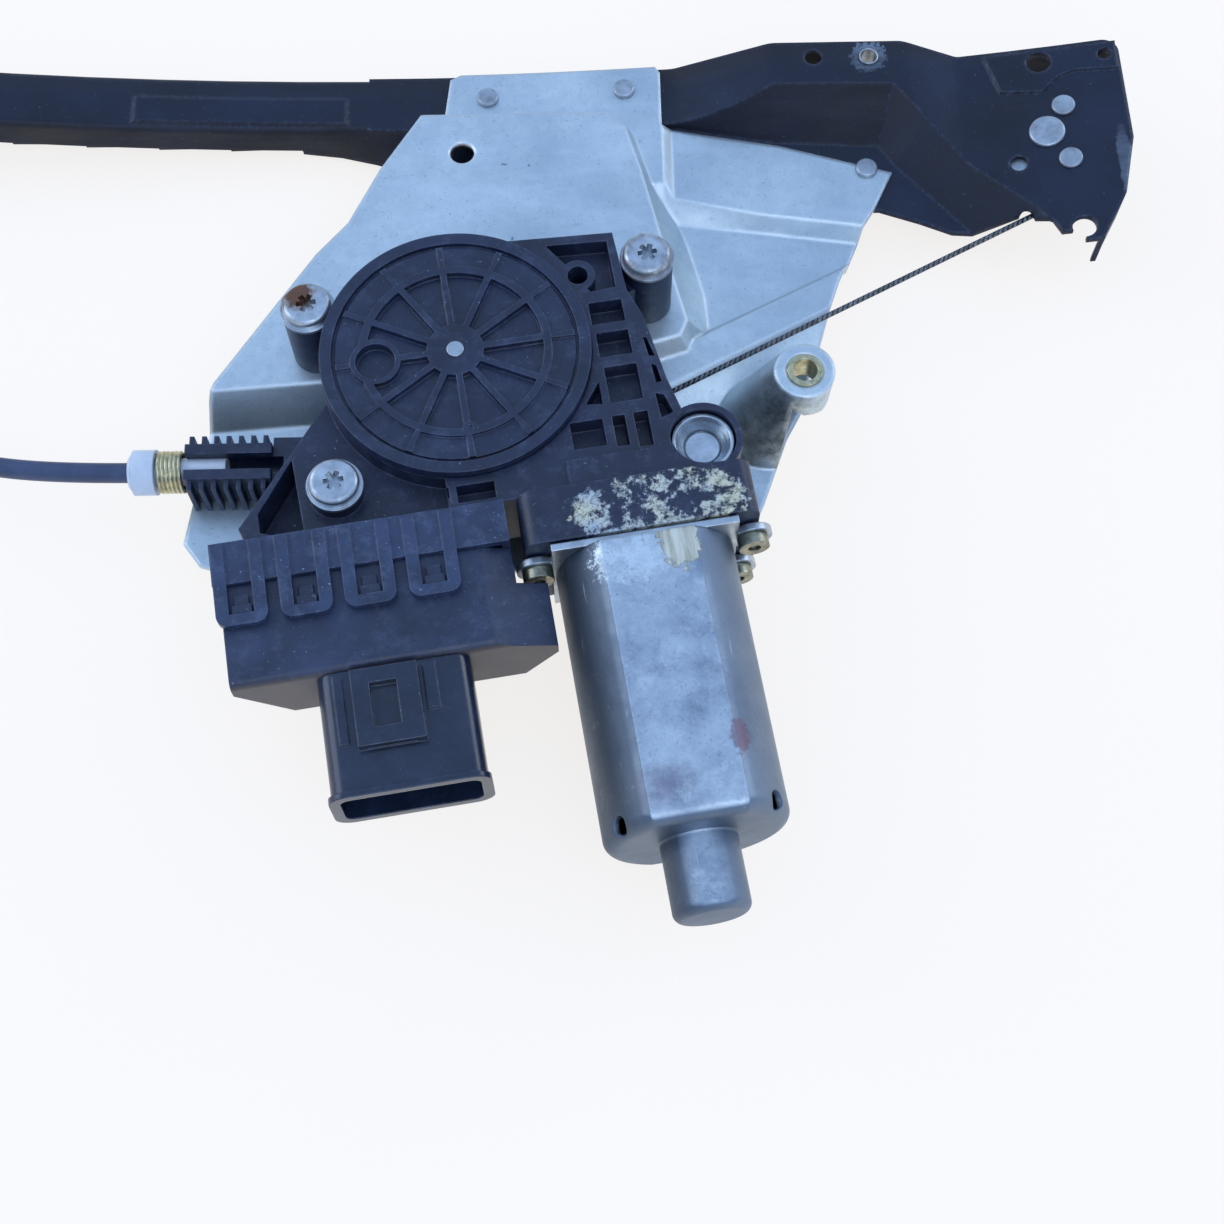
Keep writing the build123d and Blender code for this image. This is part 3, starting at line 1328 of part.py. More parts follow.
nodes = {
    "rail": make_rail,
    "rail_weld_nut": make_weld_nut,
    "end_rivets": make_end_rivets,
    "right_wear_disc": lambda: make_wear_disc(pulley_plane, end_rivets),
    "left_wear_disc": lambda: make_wear_disc(left_plane, ()),
    "right_pulley_axle": lambda: make_axle(pulley_plane),
    "left_pulley_axle": lambda: make_axle(left_plane),
    "right_pulley": lambda: make_pulley(pulley_plane),
    "left_pulley": lambda: make_pulley(left_plane),
    "bracket_plate": make_plate,
    "plate_rivets": make_plate_rivets,
    "tower_bush": make_tower_bush,
    "drum_housing": make_drum_housing,
    "gear_housing": make_gear_housing,
    "gear_cover": make_cover,
    "gear_axle_pin": make_axle_pin,
    "mounting_bolts": make_bolts,
    "bolt_sleeves": make_sleeves,
    "plate_nuts": make_plate_nuts,
    "sealing_cup": make_cup,
    "motor_can": make_can,
    "motor_flange": make_flange,
    "motor_screws": make_motor_screws,
    "magnets": make_magnets,
    "brush_holder": make_brush_holder,
    "motor_bearings": make_bearings,
    "motor_shaft": make_shaft,
    "armature_core": make_core,
    "armature_windings": make_windings,
    "commutator": make_commutator,
    "worm": make_worm,
    "worm_wheel": make_worm_wheel,
    "coupling_damper": make_damper,
    "drive_hub": make_drive_hub,
    "cable_drum": make_drum,
    "drum_cable_turns": make_wraps,
    "drive_cable": make_cable,
    "return_cable": make_return_cable,
    "cable_sheath": make_sheath,
    "sheath_end_ferrule": make_end_ferrule,
    "sheath_guide": make_sheath_guide,
    "tensioner_ferrule": make_ferrule,
    "tensioner_spring": make_spring,
    "carrier_slider": make_slider,
    "carrier_plate": make_carrier_plate,
    "carrier_rivets": make_carrier_rivets,
    "glass_socket": make_glass_socket,
    "cable_nipples": make_nipples,
    "end_buffers": make_buffers,
    "electronics_housing": make_electronics_housing,
    "electronics_cover": make_electronics_cover,
    "circuit_board": make_board,
    "connector_shroud": make_shroud,
    "connector_pins": make_pins,
}

for name, make in nodes.items():
    made = make()
    write(name, *(made if isinstance(made, list) else [made]))
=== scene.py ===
# %% [markdown]
# # A cable window lift for a car door
#
# The part lies as it was photographed: a long curved rail of black painted steel at the top, a
# galvanised bracket plate across it, and on the plate a black plastic gearbox with its motor and its
# control box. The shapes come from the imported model. This script gives every surface its real finish
# and adds the pieces that are easier to model by hand: the wound spring and the sheath of the cable.

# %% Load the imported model
import json
from math import cos, radians, sin

import bpy
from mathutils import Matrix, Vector


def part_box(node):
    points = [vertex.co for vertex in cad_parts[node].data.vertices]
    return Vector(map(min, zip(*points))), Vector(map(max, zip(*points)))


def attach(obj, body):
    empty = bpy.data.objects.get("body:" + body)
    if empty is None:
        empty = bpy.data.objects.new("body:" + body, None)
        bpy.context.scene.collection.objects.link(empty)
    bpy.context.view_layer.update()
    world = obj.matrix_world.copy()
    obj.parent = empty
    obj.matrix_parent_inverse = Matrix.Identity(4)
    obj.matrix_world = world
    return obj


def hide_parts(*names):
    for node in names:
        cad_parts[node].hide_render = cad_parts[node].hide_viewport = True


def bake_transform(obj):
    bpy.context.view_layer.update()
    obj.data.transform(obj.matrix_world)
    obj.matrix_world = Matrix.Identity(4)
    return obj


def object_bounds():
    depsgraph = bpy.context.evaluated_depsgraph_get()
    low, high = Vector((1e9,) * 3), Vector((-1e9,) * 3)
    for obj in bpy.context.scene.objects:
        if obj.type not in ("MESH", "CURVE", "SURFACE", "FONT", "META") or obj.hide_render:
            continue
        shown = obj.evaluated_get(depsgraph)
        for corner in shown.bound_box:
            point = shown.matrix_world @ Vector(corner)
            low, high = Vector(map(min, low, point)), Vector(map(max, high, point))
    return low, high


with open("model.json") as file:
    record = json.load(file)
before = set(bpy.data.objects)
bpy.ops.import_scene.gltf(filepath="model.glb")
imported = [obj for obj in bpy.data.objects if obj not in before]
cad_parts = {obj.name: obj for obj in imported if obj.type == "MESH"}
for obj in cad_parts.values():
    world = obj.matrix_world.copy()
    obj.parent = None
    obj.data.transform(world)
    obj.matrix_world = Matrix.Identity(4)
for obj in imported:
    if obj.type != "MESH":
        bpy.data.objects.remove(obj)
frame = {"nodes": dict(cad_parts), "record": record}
nodes = frame["nodes"]
cad_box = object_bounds()
MM = 0.001
print("nodes", len(nodes), "box", [[round(value, 3) for value in corner] for corner in cad_box])

# %% [markdown]
# ## Camera
#
# The photograph was taken from above with a phone, leaning a little towards the lower edge, so the
# motor's end looks bigger than the rail. A camera is placed by its position, its turn and its lens.

# %% Camera
CAMERA_PLACE = (-0.0583, -0.2552, 0.4575)
CAMERA_TURN = (radians(22.0), 0.0, radians(-1.2))
SENSOR = 36.0
# focal length and width of the photograph, both in pixels
FOCAL, WIDTH = 1900, 1224
LENS = SENSOR * FOCAL / WIDTH

camera_data = bpy.data.cameras.new("camera")
camera_data.sensor_width = SENSOR
camera_data.lens = LENS
camera = bpy.data.objects.new("camera", camera_data)
camera.location = CAMERA_PLACE
camera.rotation_euler = CAMERA_TURN
bpy.context.collection.objects.link(camera)
bpy.context.scene.camera = camera
bpy.context.scene.view_settings.view_transform = "Standard"

# %% [markdown]
# ## Small helpers for materials
#
# A colour is given as an sRGB hex value, and a shader wants linear light, so one function turns
# one into the other. The next adds a node: it sets the node's properties and sockets, or links a
# socket to another node. Four short calls on top of it make noise, a ramp, a product and a mix of
# two colours, so each material reads as a list of what is on the surface. A finish can be opened
# again to lay one more thing over it.

# %% Colour and node helpers
def linear(hex_colour):
    """Linear RGBA of a six-digit sRGB colour."""
    channels = [int(hex_colour[place:place + 2], 16) / 255 for place in (0, 2, 4)]
    light = [c / 12.92 if c <= 0.04045 else ((c + 0.055) / 1.055) ** 2.4 for c in channels]
    return (*light, 1.0)


def add(tree, kind, values=None):
    """Add one node. Each value sets a property or a socket, or is a node or socket to link to it."""
    node = tree.nodes.new("ShaderNode" + kind)
    for name, value in (values or {}).items():
        if isinstance(name, str) and name not in node.inputs:
            setattr(node, name, value)
            continue
        sockets = [socket for socket in node.inputs if socket.enabled and socket.name == name]
        socket = node.inputs[name] if isinstance(name, int) else sockets[0]
        if isinstance(value, bpy.types.Node):
            value = next(out for out in value.outputs if out.enabled)
        if isinstance(value, bpy.types.NodeSocket):
            tree.links.new(value, socket)
        else:
            socket.default_value = linear(value) if isinstance(value, str) else value
    return node


def new_finish(name):
    """Empty material, its node tree, and the piece's own coordinates in metres."""
    material = bpy.data.materials.new(name)
    material.use_nodes = True
    tree = material.node_tree
    tree.nodes.clear()
    return material, tree, add(tree, "TexCoord").outputs["Object"]


def reopened(material):
    """Node tree of a finished material, its coordinates, its shader and what feeds its colour."""
    tree = material.node_tree
    place = next(node for node in tree.nodes if node.type == "TEX_COORD").outputs["Object"]
    skin = next(node for node in tree.nodes if node.type == "BSDF_PRINCIPLED")
    return tree, place, skin, skin.inputs["Base Color"].links[0].from_socket


def per_metre(size_mm):
    """Texture scale that gives a pattern of this size in millimetres."""
    return 1000.0 / size_mm


def noise(tree, place, size_mm, detail, roughness=0.5):
    """Cloudy pattern with grains of this size in millimetres."""
    look = {"Scale": per_metre(size_mm), "Detail": detail, "Roughness": roughness}
    return add(tree, "TexNoise", {"Vector": place, **look})


def ramp(tree, value, start, end, low=0.0, high=1.0):
    """Value that goes from low to high while the input goes from start to end."""
    limits = {"From Min": start, "From Max": end, "To Min": low, "To Max": high}
    return add(tree, "MapRange", {"Value": value, **limits})


def product(tree, first, second):
    """Two values multiplied."""
    return add(tree, "Math", {"operation": "MULTIPLY", 0: first, 1: second})


def laid_over(tree, share, below, above):
    """Colour that goes from the one below to the one above by this share."""
    return add(tree, "Mix", {"data_type": "RGBA", "Factor": share, "A": below, "B": above})


# %% [markdown]
# ## Edges that have been handled
#
# A pressed or moulded edge is never sharp, and it is where dust, scratches and shine gather. A Bevel
# node gives the normal that a rounded edge would have. Where that differs from the true normal there
# is an edge, so comparing the two gives a mask for wear and for painted highlights. Every finish below
# uses the normal, those that wear pale at their edges use the mask as well, and the rail and the plate
# also lay a painted highlight along their edges with it.

# %% Rounded edge and edge mask
def rounded_edges(tree, radius_mm):
    """Normal with rounded edges, and a mask that is 1 along them."""
    soft = add(tree, "Bevel", {"samples": 6, "Radius": radius_mm * MM})
    flat = add(tree, "NewGeometry").outputs["Normal"]
    same = add(tree, "VectorMath", {"operation": "DOT_PRODUCT", 0: soft, 1: flat})
    mask = ramp(tree, same, 0.995, 0.88)
    return soft, mask


# %% [markdown]
# ## The gear unit's own axes
#
# The motor and its gearbox sit turned by a few degrees on the plate. Marks that belong to them, such
# as old glue on the neck or stains on the can, are easier to place along the unit's own axes. A
# Mapping node of the Texture kind moves the coordinates there, and its values are the model's.

# %% Axes of the gear unit
UNIT_PLACE = (-94.8 * MM, 0.4 * MM, 0.0)
UNIT_TURN = radians(8.6)


def unit_axes(tree, place):
    """Coordinates along the gear unit: X across the motor, Y from the motor to the drum."""
    values = {"vector_type": "TEXTURE", "Location": UNIT_PLACE, "Rotation": (0, 0, UNIT_TURN)}
    return add(tree, "Mapping", {**values, "Vector": place})


def on_unit(u, v):
    """Point of the gear unit in the part's frame, from millimetres along its axes."""
    x = UNIT_PLACE[0] + (u * cos(UNIT_TURN) - v * sin(UNIT_TURN)) * MM
    return x, UNIT_PLACE[1] + (u * sin(UNIT_TURN) + v * cos(UNIT_TURN)) * MM


# %% [markdown]
# ## A ragged patch
#
# Rust, glue, scraped paint and stains all have the same outline: they start at one place and end in a
# ragged edge. A distance from the centre, pushed in and out by noise, gives that outline, and a
# squeezed distance makes the patch long or square.

# %% Ragged patch
def patch(tree, place, centre_mm, half_mm, ragged_mm=4.0, soft=0.25):
    """Mask of a patch with a ragged rim: centre and half sizes in millimetres."""
    middle = tuple(value * MM for value in centre_mm)
    half = tuple(value * MM for value in half_mm)
    local = add(tree, "Mapping", {
        "vector_type": "TEXTURE", "Location": middle, "Scale": half, "Vector": place,
    })
    far = add(tree, "VectorMath", {"operation": "LENGTH", 0: local})
    rim = noise(tree, place, ragged_mm, 6.0, 0.7)
    push = add(tree, "Math", {"operation": "MULTIPLY_ADD", 0: rim, 1: 1.6, 2: -0.8})
    torn = add(tree, "Math", {"operation": "ADD", 0: far, 1: push})
    return ramp(tree, torn, 1.0, 1.0 - soft)


# %% [markdown]
# ## Black dipped paint
#
# The rail is pressed from sheet steel and dipped in black primer, which dries to a thin film of
# satin gloss. It mirrors the sky in soft blue. The faces that look towards the motor carry a painted
# brown shade, and the top strip is brown too; both are made matt. Round the weld nut the paint is
# scraped to bare metal, where a bolt's washer has turned, and the edges are rubbed pale in a blue that
# also paints a highlight. Clouds of noise vary the gloss, so that no stretch of the long rail looks
# alike.

# %% Black dipped paint
# centre and half sizes of the two bare places, in millimetres
NUT_RING = ((26.2, 110.6, -14.0), (5.8, 5.8, 30.0))
CURLED_RIM = ((97.0, 68.0, 0.0), (2.2, 16.0, 12.0))
# where the brown on the top strip begins and where it is full, in millimetres along Y
TOP_STRIP = (108.0, 112.5)


def black_dipped_paint():
    material, tree, place = new_finish("black dipped paint on pressed steel")
    soft, edge = rounded_edges(tree, 1.8)
    cloud = noise(tree, place, 26, 6.0, 0.6)
    grit = noise(tree, place, 1.3, 3.0, 0.7)
    smear = add(tree, "Mapping", {"Vector": place, "Scale": (0.25, 1.4, 1.0)})
    streak = noise(tree, smear, 12, 6.0, 0.65)
    tone = ramp(tree, cloud, 0.35, 0.68)
    colour = laid_over(tree, tone, "0A1120", "121C33")
    # painted brown shade on faces that look towards the motor, and brown on the rail's top strip
    normal = add(tree, "NewGeometry").outputs["Normal"]
    facing = add(tree, "SeparateXYZ", {"Vector": normal}).outputs["Y"]
    down = ramp(tree, facing, -0.25, -0.8)
    across = add(tree, "SeparateXYZ", {"Vector": place}).outputs["Y"]
    start, end = (value * MM for value in TOP_STRIP)
    strip = ramp(tree, across, start, end)
    strip = product(tree, strip, 0.6)
    overlay_share = add(tree, "Math", {"operation": "MAXIMUM", 0: down, 1: strip})
    overlay_share = product(tree, overlay_share, streak)
    overlay_share = product(tree, overlay_share, 0.9)
    colour = laid_over(tree, overlay_share, colour, "16100E")
    rust_seen = ramp(tree, streak, 0.6, 0.74, high=0.35)
    colour = laid_over(tree, rust_seen, colour, "2A211E")
    specks = ramp(tree, grit, 0.66, 0.74, high=0.3)
    colour = laid_over(tree, specks, colour, "6C7482")
    # rubbed wear along the edges, laid in a pale blue that also paints a highlight there
    rubbed_and_highlight = ramp(tree, grit, 0.42, 0.64, high=0.34)
    rubbed_and_highlight = product(tree, rubbed_and_highlight, edge)
    colour = laid_over(tree, rubbed_and_highlight, colour, "55668A")
    # bare metal round the weld nut and on the curled rim at the wide end, broken by streaks
    ring = patch(tree, place, *NUT_RING, 1.4, 0.15)
    rim = patch(tree, place, *CURLED_RIM, 6.0)
    rim = product(tree, rim, 0.55)
    scraped = add(tree, "Math", {"operation": "MAXIMUM", 0: ring, 1: rim})
    bare = ramp(tree, streak, 0.38, 0.62, low=0.25)
    scraped = product(tree, scraped, bare)
    colour = laid_over(tree, scraped, colour, "7D8998")
    rough = ramp(tree, cloud, 0.3, 0.7, 0.2, 0.36)
    rough = add(tree, "Math", {"operation": "MULTIPLY_ADD", 0: overlay_share, 1: 0.9, 2: rough})
    bump = add(tree, "Bump", {"Height": grit, "Normal": soft, "Distance": 0.04 * MM, "Strength": 1.0})
    skin = add(tree, "BsdfPrincipled", {
        "Base Color": colour, "Metallic": scraped, "Roughness": rough, "Normal": bump,
        "Specular IOR Level": 0.4,
    })
    add(tree, "OutputMaterial", {"Surface": skin})
    return material


# %% [markdown]
# ## Galvanised sheet
#
# The bracket plate was pressed from sheet that had been dipped in molten zinc. Fresh zinc freezes in
# flat crystals and shines. In a door it dulls to a pale blue grey, with small dark specks and drawing
# marks from the press, and a painted highlight lies along its edges and ridges. Voronoi cells stand for
# the crystals, and stretched noise for the drawing marks. A dark painted shade lies on the steep flank
# of the drawn tower.

# %% Galvanised sheet
# how far the centre of the painted shade lies from the tower's bush, and its half sizes, in millimetres
PAINTED_SHADE_SHIFT = (-10.0, -17.0)
PAINTED_SHADE_HALF = (15.0, 17.0, 40.0)


def galvanised_sheet():
    material, tree, place = new_finish("hot dip galvanised sheet")
    soft, edge = rounded_edges(tree, 1.8)
    crystal = add(tree, "TexVoronoi", {"Vector": place, "Scale": per_metre(2.4)}).outputs["Color"]
    crystal = add(tree, "SeparateColor", {"Color": crystal})
    cloud = noise(tree, place, 38, 5.0, 0.6)
    drawn = add(tree, "Mapping", {
        "Vector": place, "Rotation": (0, 0, radians(62)), "Scale": (1.0, 3.5, 1.0),
    })
    marks = noise(tree, drawn, 30, 4.0, 0.55)
    fine = noise(tree, place, 0.9, 3.0, 0.6)
    spots = noise(tree, place, 3.2, 2.0, 0.5)
    tone = ramp(tree, cloud, 0.32, 0.7)
    colour = laid_over(tree, tone, "B2C0C8", "D0DCDF")
    facet = product(tree, crystal, 0.2)
    colour = laid_over(tree, facet, colour, "9AABB6")
    wiped = ramp(tree, marks, 0.52, 0.75, high=0.35)
    colour = laid_over(tree, wiped, colour, "DDE7EA")
    dark = ramp(tree, spots, 0.74, 0.8, high=0.75)
    colour = laid_over(tree, dark, colour, "3E474D")
    dust = ramp(tree, fine, 0.6, 0.7, high=0.4)
    colour = laid_over(tree, dust, colour, "7F8E97")
    # painted highlight along the plate's edges and ridges
    painted_edge_highlight = product(tree, edge, 0.6)
    colour = laid_over(tree, painted_edge_highlight, colour, "F0F6F8")
    # dark painted shade on the steep flank of the drawn tower
    low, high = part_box("tower_bush")
    flank = [(low[axis] + high[axis]) / 2 / MM + PAINTED_SHADE_SHIFT[axis] for axis in (0, 1)]
    overlay_share = patch(tree, place, (*flank, 0.0), PAINTED_SHADE_HALF, 6.0, 0.7)
    normal = add(tree, "NewGeometry").outputs["Normal"]
    facing = add(tree, "SeparateXYZ", {"Vector": normal}).outputs["Z"]
    steep = ramp(tree, facing, 0.92, 0.6, high=0.85)
    overlay_share = product(tree, overlay_share, steep)
    colour = laid_over(tree, overlay_share, colour, "25272D")
    rough = ramp(tree, marks, 0.3, 0.7, 0.46, 0.34)
    bump = add(tree, "Bump", {"Height": marks, "Normal": soft, "Distance": 0.12 * MM, "Strength": 1.0})
    skin = add(tree, "BsdfPrincipled", {
        "Base Color": colour, "Metallic": 0.85, "Roughness": rough, "Normal": bump,
    })
    add(tree, "OutputMaterial", {"Surface": skin})
    return material


# %% [markdown]
# ## Black moulded nylon
#
# Gear case, lid, drum cover and control box are nylon filled with glass fibre. It is moulded with a
# satin skin that mirrors the sky as a blue-grey sheen. Ribs go pale where tools and dust touch them,
# pale crumbs of dust stick to it, and road dirt leaves a brown film on a wall that looks outwards.

# %% Black moulded nylon
def moulded_nylon(name, dark, pale, smooth, rough, dusty=0.2, overlay_share=0.0, edge_mm=0.6):
    material, tree, place = new_finish(name)
    soft, edge = rounded_edges(tree, edge_mm)
    cloud = noise(tree, place, 15, 6.0, 0.6)
    grain = noise(tree, place, 0.5, 2.0, 0.6)
    lint = noise(tree, place, 5, 7.0, 0.75)
    tone = ramp(tree, cloud, 0.3, 0.7)
    colour = laid_over(tree, tone, dark, pale)
    dust = ramp(tree, lint, 0.5, 0.75, high=dusty)
    colour = laid_over(tree, dust, colour, "66708A")
    scuff = ramp(tree, lint, 0.4, 0.6, high=0.3)
    scuff = product(tree, scuff, edge)
    colour = laid_over(tree, scuff, colour, "66789F")
    normal = add(tree, "NewGeometry").outputs["Normal"]
    facing = add(tree, "SeparateXYZ", {"Vector": normal}).outputs["Y"]
    outward = ramp(tree, facing, -0.6, -0.95, high=overlay_share)
    soil = laid_over(tree, tone, "3B3330", "5C5148")
    colour = laid_over(tree, outward, colour, soil)
    crumb = noise(tree, place, 1.1, 3.0, 0.6)
    crumb = ramp(tree, crumb, 0.69, 0.73, high=dusty * 2.0)
    colour = laid_over(tree, crumb, colour, "8D9AB5")
    gloss = ramp(tree, cloud, 0.3, 0.7, smooth, rough)
    bump = add(tree, "Bump", {"Height": grain, "Normal": soft, "Distance": 0.03 * MM, "Strength": 1.0})
    skin = add(tree, "BsdfPrincipled", {
        "Base Color": colour, "Roughness": gloss, "Normal": bump, "IOR": 1.53,
    })
    add(tree, "OutputMaterial", {"Surface": skin})
    return material


# %% [markdown]
# ## Plated and bare metals
#
# Small steel parts are zinc plated: clear and bluish on screws, yellow on the tower's bush and the
# spring. Handling turns the plating cloudy, and rust or grease stains it in spots. One recipe covers
# them, a metal with cloudy roughness and a stain colour, and each finish gets its own values.

# %% Plated metals
def plated_metal(name, bright, dull, mark, stain_share, smooth, rough, cloud_mm=6.0, metallic=0.95):
    material, tree, place = new_finish(name)
    soft = rounded_edges(tree, 0.5)[0]
    cloud = noise(tree, place, cloud_mm, 5.0)
    fine = noise(tree, place, 0.8, 3.0, 0.65)
    spots = noise(tree, place, cloud_mm * 0.7, 7.0, 0.7)
    tone = ramp(tree, cloud, 0.3, 0.7)
    colour = laid_over(tree, tone, dull, bright)
    stained = ramp(tree, spots, 0.5, 0.68, high=stain_share)
    colour = laid_over(tree, stained, colour, mark)
    gloss = ramp(tree, cloud, 0.3, 0.7, rough, smooth)
    bump = add(tree, "Bump", {"Height": fine, "Normal": soft, "Distance": 0.03 * MM, "Strength": 1.0})
    skin = add(tree, "BsdfPrincipled", {
        "Base Color": colour, "Metallic": metallic, "Roughness": gloss, "Normal": bump,
    })
    add(tree, "OutputMaterial", {"Surface": skin})
    return material


# %% [markdown]
# ## Dull zinc on the motor can
#
# The can is drawn from steel, which leaves a fine orange-peel skin under the zinc. Years of handling
# have left the flat top cloudy. Its round sides carry a painted slate shade, and so does a strip along
# one edge of the flat. Near its mouth lie the torn remains of glued paper, a purple-brown stain sits by
# one end corner, a rust-red smear by the other.

# %% Dull zinc on the motor can
# centre, half sizes and raggedness in millimetres along the unit's axes, softness, strength, colour
CAN_STAINS_AND_SHADE = (
    ((33.0, -129.0, 14.0), (9.0, 7.0, 12.0), 3.0, 0.8, 0.55, "6A6072"),
    # the second is not a stain: it paints a grey shade along one edge of the flat
    ((55.0, -112.0, 12.0), (4.0, 15.0, 14.0), 2.5, 0.9, 0.45, "566074"),
    ((53.6, -119.5, 14.0), (2.8, 5.4, 12.0), 1.3, 0.3, 0.55, "6E4250"),
)
BLEACHED = ((36.0, -68.0, 16.0), (11.0, 8.0, 12.0), 1.6, 0.15)
CAN_PAPER = ((48.5, -66.0, 16.0), (5.4, 7.6, 12.0), 2.4, 0.12)


def dull_zinc_can():
    material, tree, place = new_finish("dulled zinc plate on drawn steel")
    soft = rounded_edges(tree, 1.2)[0]
    unit = unit_axes(tree, place)
    cloud = noise(tree, place, 20, 7.0, 0.68)
    peel = noise(tree, place, 0.9, 4.0, 0.65)
    mottle = noise(tree, place, 7, 8.0, 0.8)
    drawn = add(tree, "Mapping", {"Vector": unit, "Scale": (6.0, 0.6, 6.0)})
    drag = noise(tree, drawn, 16, 5.0, 0.6)
    tone = ramp(tree, cloud, 0.34, 0.68)
    colour = laid_over(tree, tone, "8292A3", "C4D0D8")
    # painted slate shade on the round sides, darker on the side next to the control box
    normal = add(tree, "NewGeometry").outputs["Normal"]
    facing = add(tree, "SeparateXYZ", {"Vector": normal})
    side = ramp(tree, facing.outputs["Z"], 0.97, 0.8)
    outer = ramp(tree, facing.outputs["X"], -0.7, 0.6)
    painted_side_shade = laid_over(tree, outer, "444E5C", "6E7D90")
    side = product(tree, side, 0.9)
    colour = laid_over(tree, side, colour, painted_side_shade)
    frost = ramp(tree, mottle, 0.52, 0.64, high=0.5)
    frost = add(tree, "Math", {
        "operation": "MULTIPLY_ADD", 0: side, 1: -0.42, 2: frost, "use_clamp": True,
    })
    colour = laid_over(tree, frost, colour, "CDD8DE")
    pits = ramp(tree, peel, 0.58, 0.7, high=0.45)
    colour = laid_over(tree, pits, colour, "5F6B78")
    scratch = ramp(tree, drag, 0.68, 0.74, high=0.5)
    colour = laid_over(tree, scratch, colour, "D4DDE2")
    # a purple-brown stain, a painted grey shade along one edge of the flat, and a rust-red smear
    for centre, half, ragged, blur, strength, tint in CAN_STAINS_AND_SHADE:
        mark = patch(tree, unit, centre, half, ragged, blur)
        mark = product(tree, mark, strength)
        colour = laid_over(tree, mark, colour, tint)
    # what is left of the glued paper at the can's mouth
    bleached = patch(tree, unit, *BLEACHED)
    flaked = ramp(tree, mottle, 0.44, 0.56, 0.3, 0.9)
    bleached = product(tree, bleached, flaked)
    speckle = laid_over(tree, pits, "CFDCE2", "5A6672")
    colour = laid_over(tree, bleached, colour, speckle)
    paper = patch(tree, unit, *CAN_PAPER)
    aged = ramp(tree, drag, 0.38, 0.62)
    aged = laid_over(tree, aged, "7E7F68", "C6C8BC")
    colour = laid_over(tree, paper, colour, aged)
    bare = add(tree, "Math", {"operation": "MULTIPLY_ADD", 0: paper, 1: -0.9, 2: 0.9})
    rough = ramp(tree, cloud, 0.3, 0.7, 0.54, 0.4)
    height = add(tree, "Math", {"operation": "MULTIPLY_ADD", 0: paper, 1: 3.0, 2: peel})
    bump = add(tree, "Bump", {"Height": height, "Normal": soft, "Distance": 0.06 * MM, "Strength": 1.0})
    skin = add(tree, "BsdfPrincipled", {
        "Base Color": colour, "Metallic": bare, "Roughness": rough, "Normal": bump,
    })
    add(tree, "OutputMaterial", {"Surface": skin})
    return material


# %% [markdown]
# ## The gear case and its neck
#
# The neck of the gear case carried a glued paper sheet that has been torn away. What stays is a thin
# white and yellow crust, broken by the black plastic. The case is the same nylon as the rest, so its
# material is the nylon recipe with that crust laid over it in the neck's own area.

# %% Gear case with old paper on its neck
# centre, half sizes, raggedness and softness of the crust's three places, along the unit's axes
NECK_CRUST = ((47.0, -53.5, 14.0), (24.5, 8.4, 9.0), 2.2, 0.12)
CORNER_CRUST = ((27.5, -54.0, 14.0), (4.2, 6.6, 9.0), 2.0, 0.1)
LOWER_CRUST = ((42.0, -60.4, 12.0), (17.0, 1.7, 12.0), 2.0, 0.2)


def nylon_with_torn_paper():
    material = moulded_nylon("glass filled nylon with torn paper", "0E1629", "19243F", 0.36, 0.52, 0.25)
    tree, place, skin, nylon = reopened(material)
    unit = unit_axes(tree, place)
    crumbs = noise(tree, unit, 2.6, 8.0, 0.75)
    sweep = noise(tree, unit, 14, 5.0, 0.6)
    neck = patch(tree, unit, *NECK_CRUST)
    left = add(tree, "Math", {"operation": "MULTIPLY_ADD", 0: sweep, 1: 0.75, 2: crumbs})
    left = ramp(tree, left, 0.87, 0.93)
    corner = patch(tree, unit, *CORNER_CRUST)
    lower = patch(tree, unit, *LOWER_CRUST)
    left = product(tree, left, neck)
    left = add(tree, "Math", {"operation": "MAXIMUM", 0: left, 1: corner})
    left = add(tree, "Math", {"operation": "MAXIMUM", 0: left, 1: lower})
    torn = ramp(tree, crumbs, 0.42, 0.5)
    left = product(tree, left, torn)
    fibre = noise(tree, unit, 1.0, 4.0, 0.7)
    fibre = ramp(tree, fibre, 0.4, 0.52, low=0.35)
    left = product(tree, left, fibre)
    age = ramp(tree, sweep, 0.4, 0.62)
    paper = laid_over(tree, age, "A4B2BD", "C2C2A8")
    colour = laid_over(tree, left, nylon, paper)
    tree.links.new(colour.outputs[2], skin.inputs["Base Color"])
    return material


# %% [markdown]
# ## Screws with their own rust
#
# The three bolts that hold the gearbox have aged differently: one is rusty, one has a brown rim round
# a bright recess, and one is clean. They share a node, so the rust is placed by each bolt's centre.

# %% Bolts
# centres along the unit's axes; the third bolt, at (-36.7, -32.0), is clean
RUSTY_BOLT = (-37.8, 22.2)
BROWN_RIM_BOLT = (56.1, 22.3)


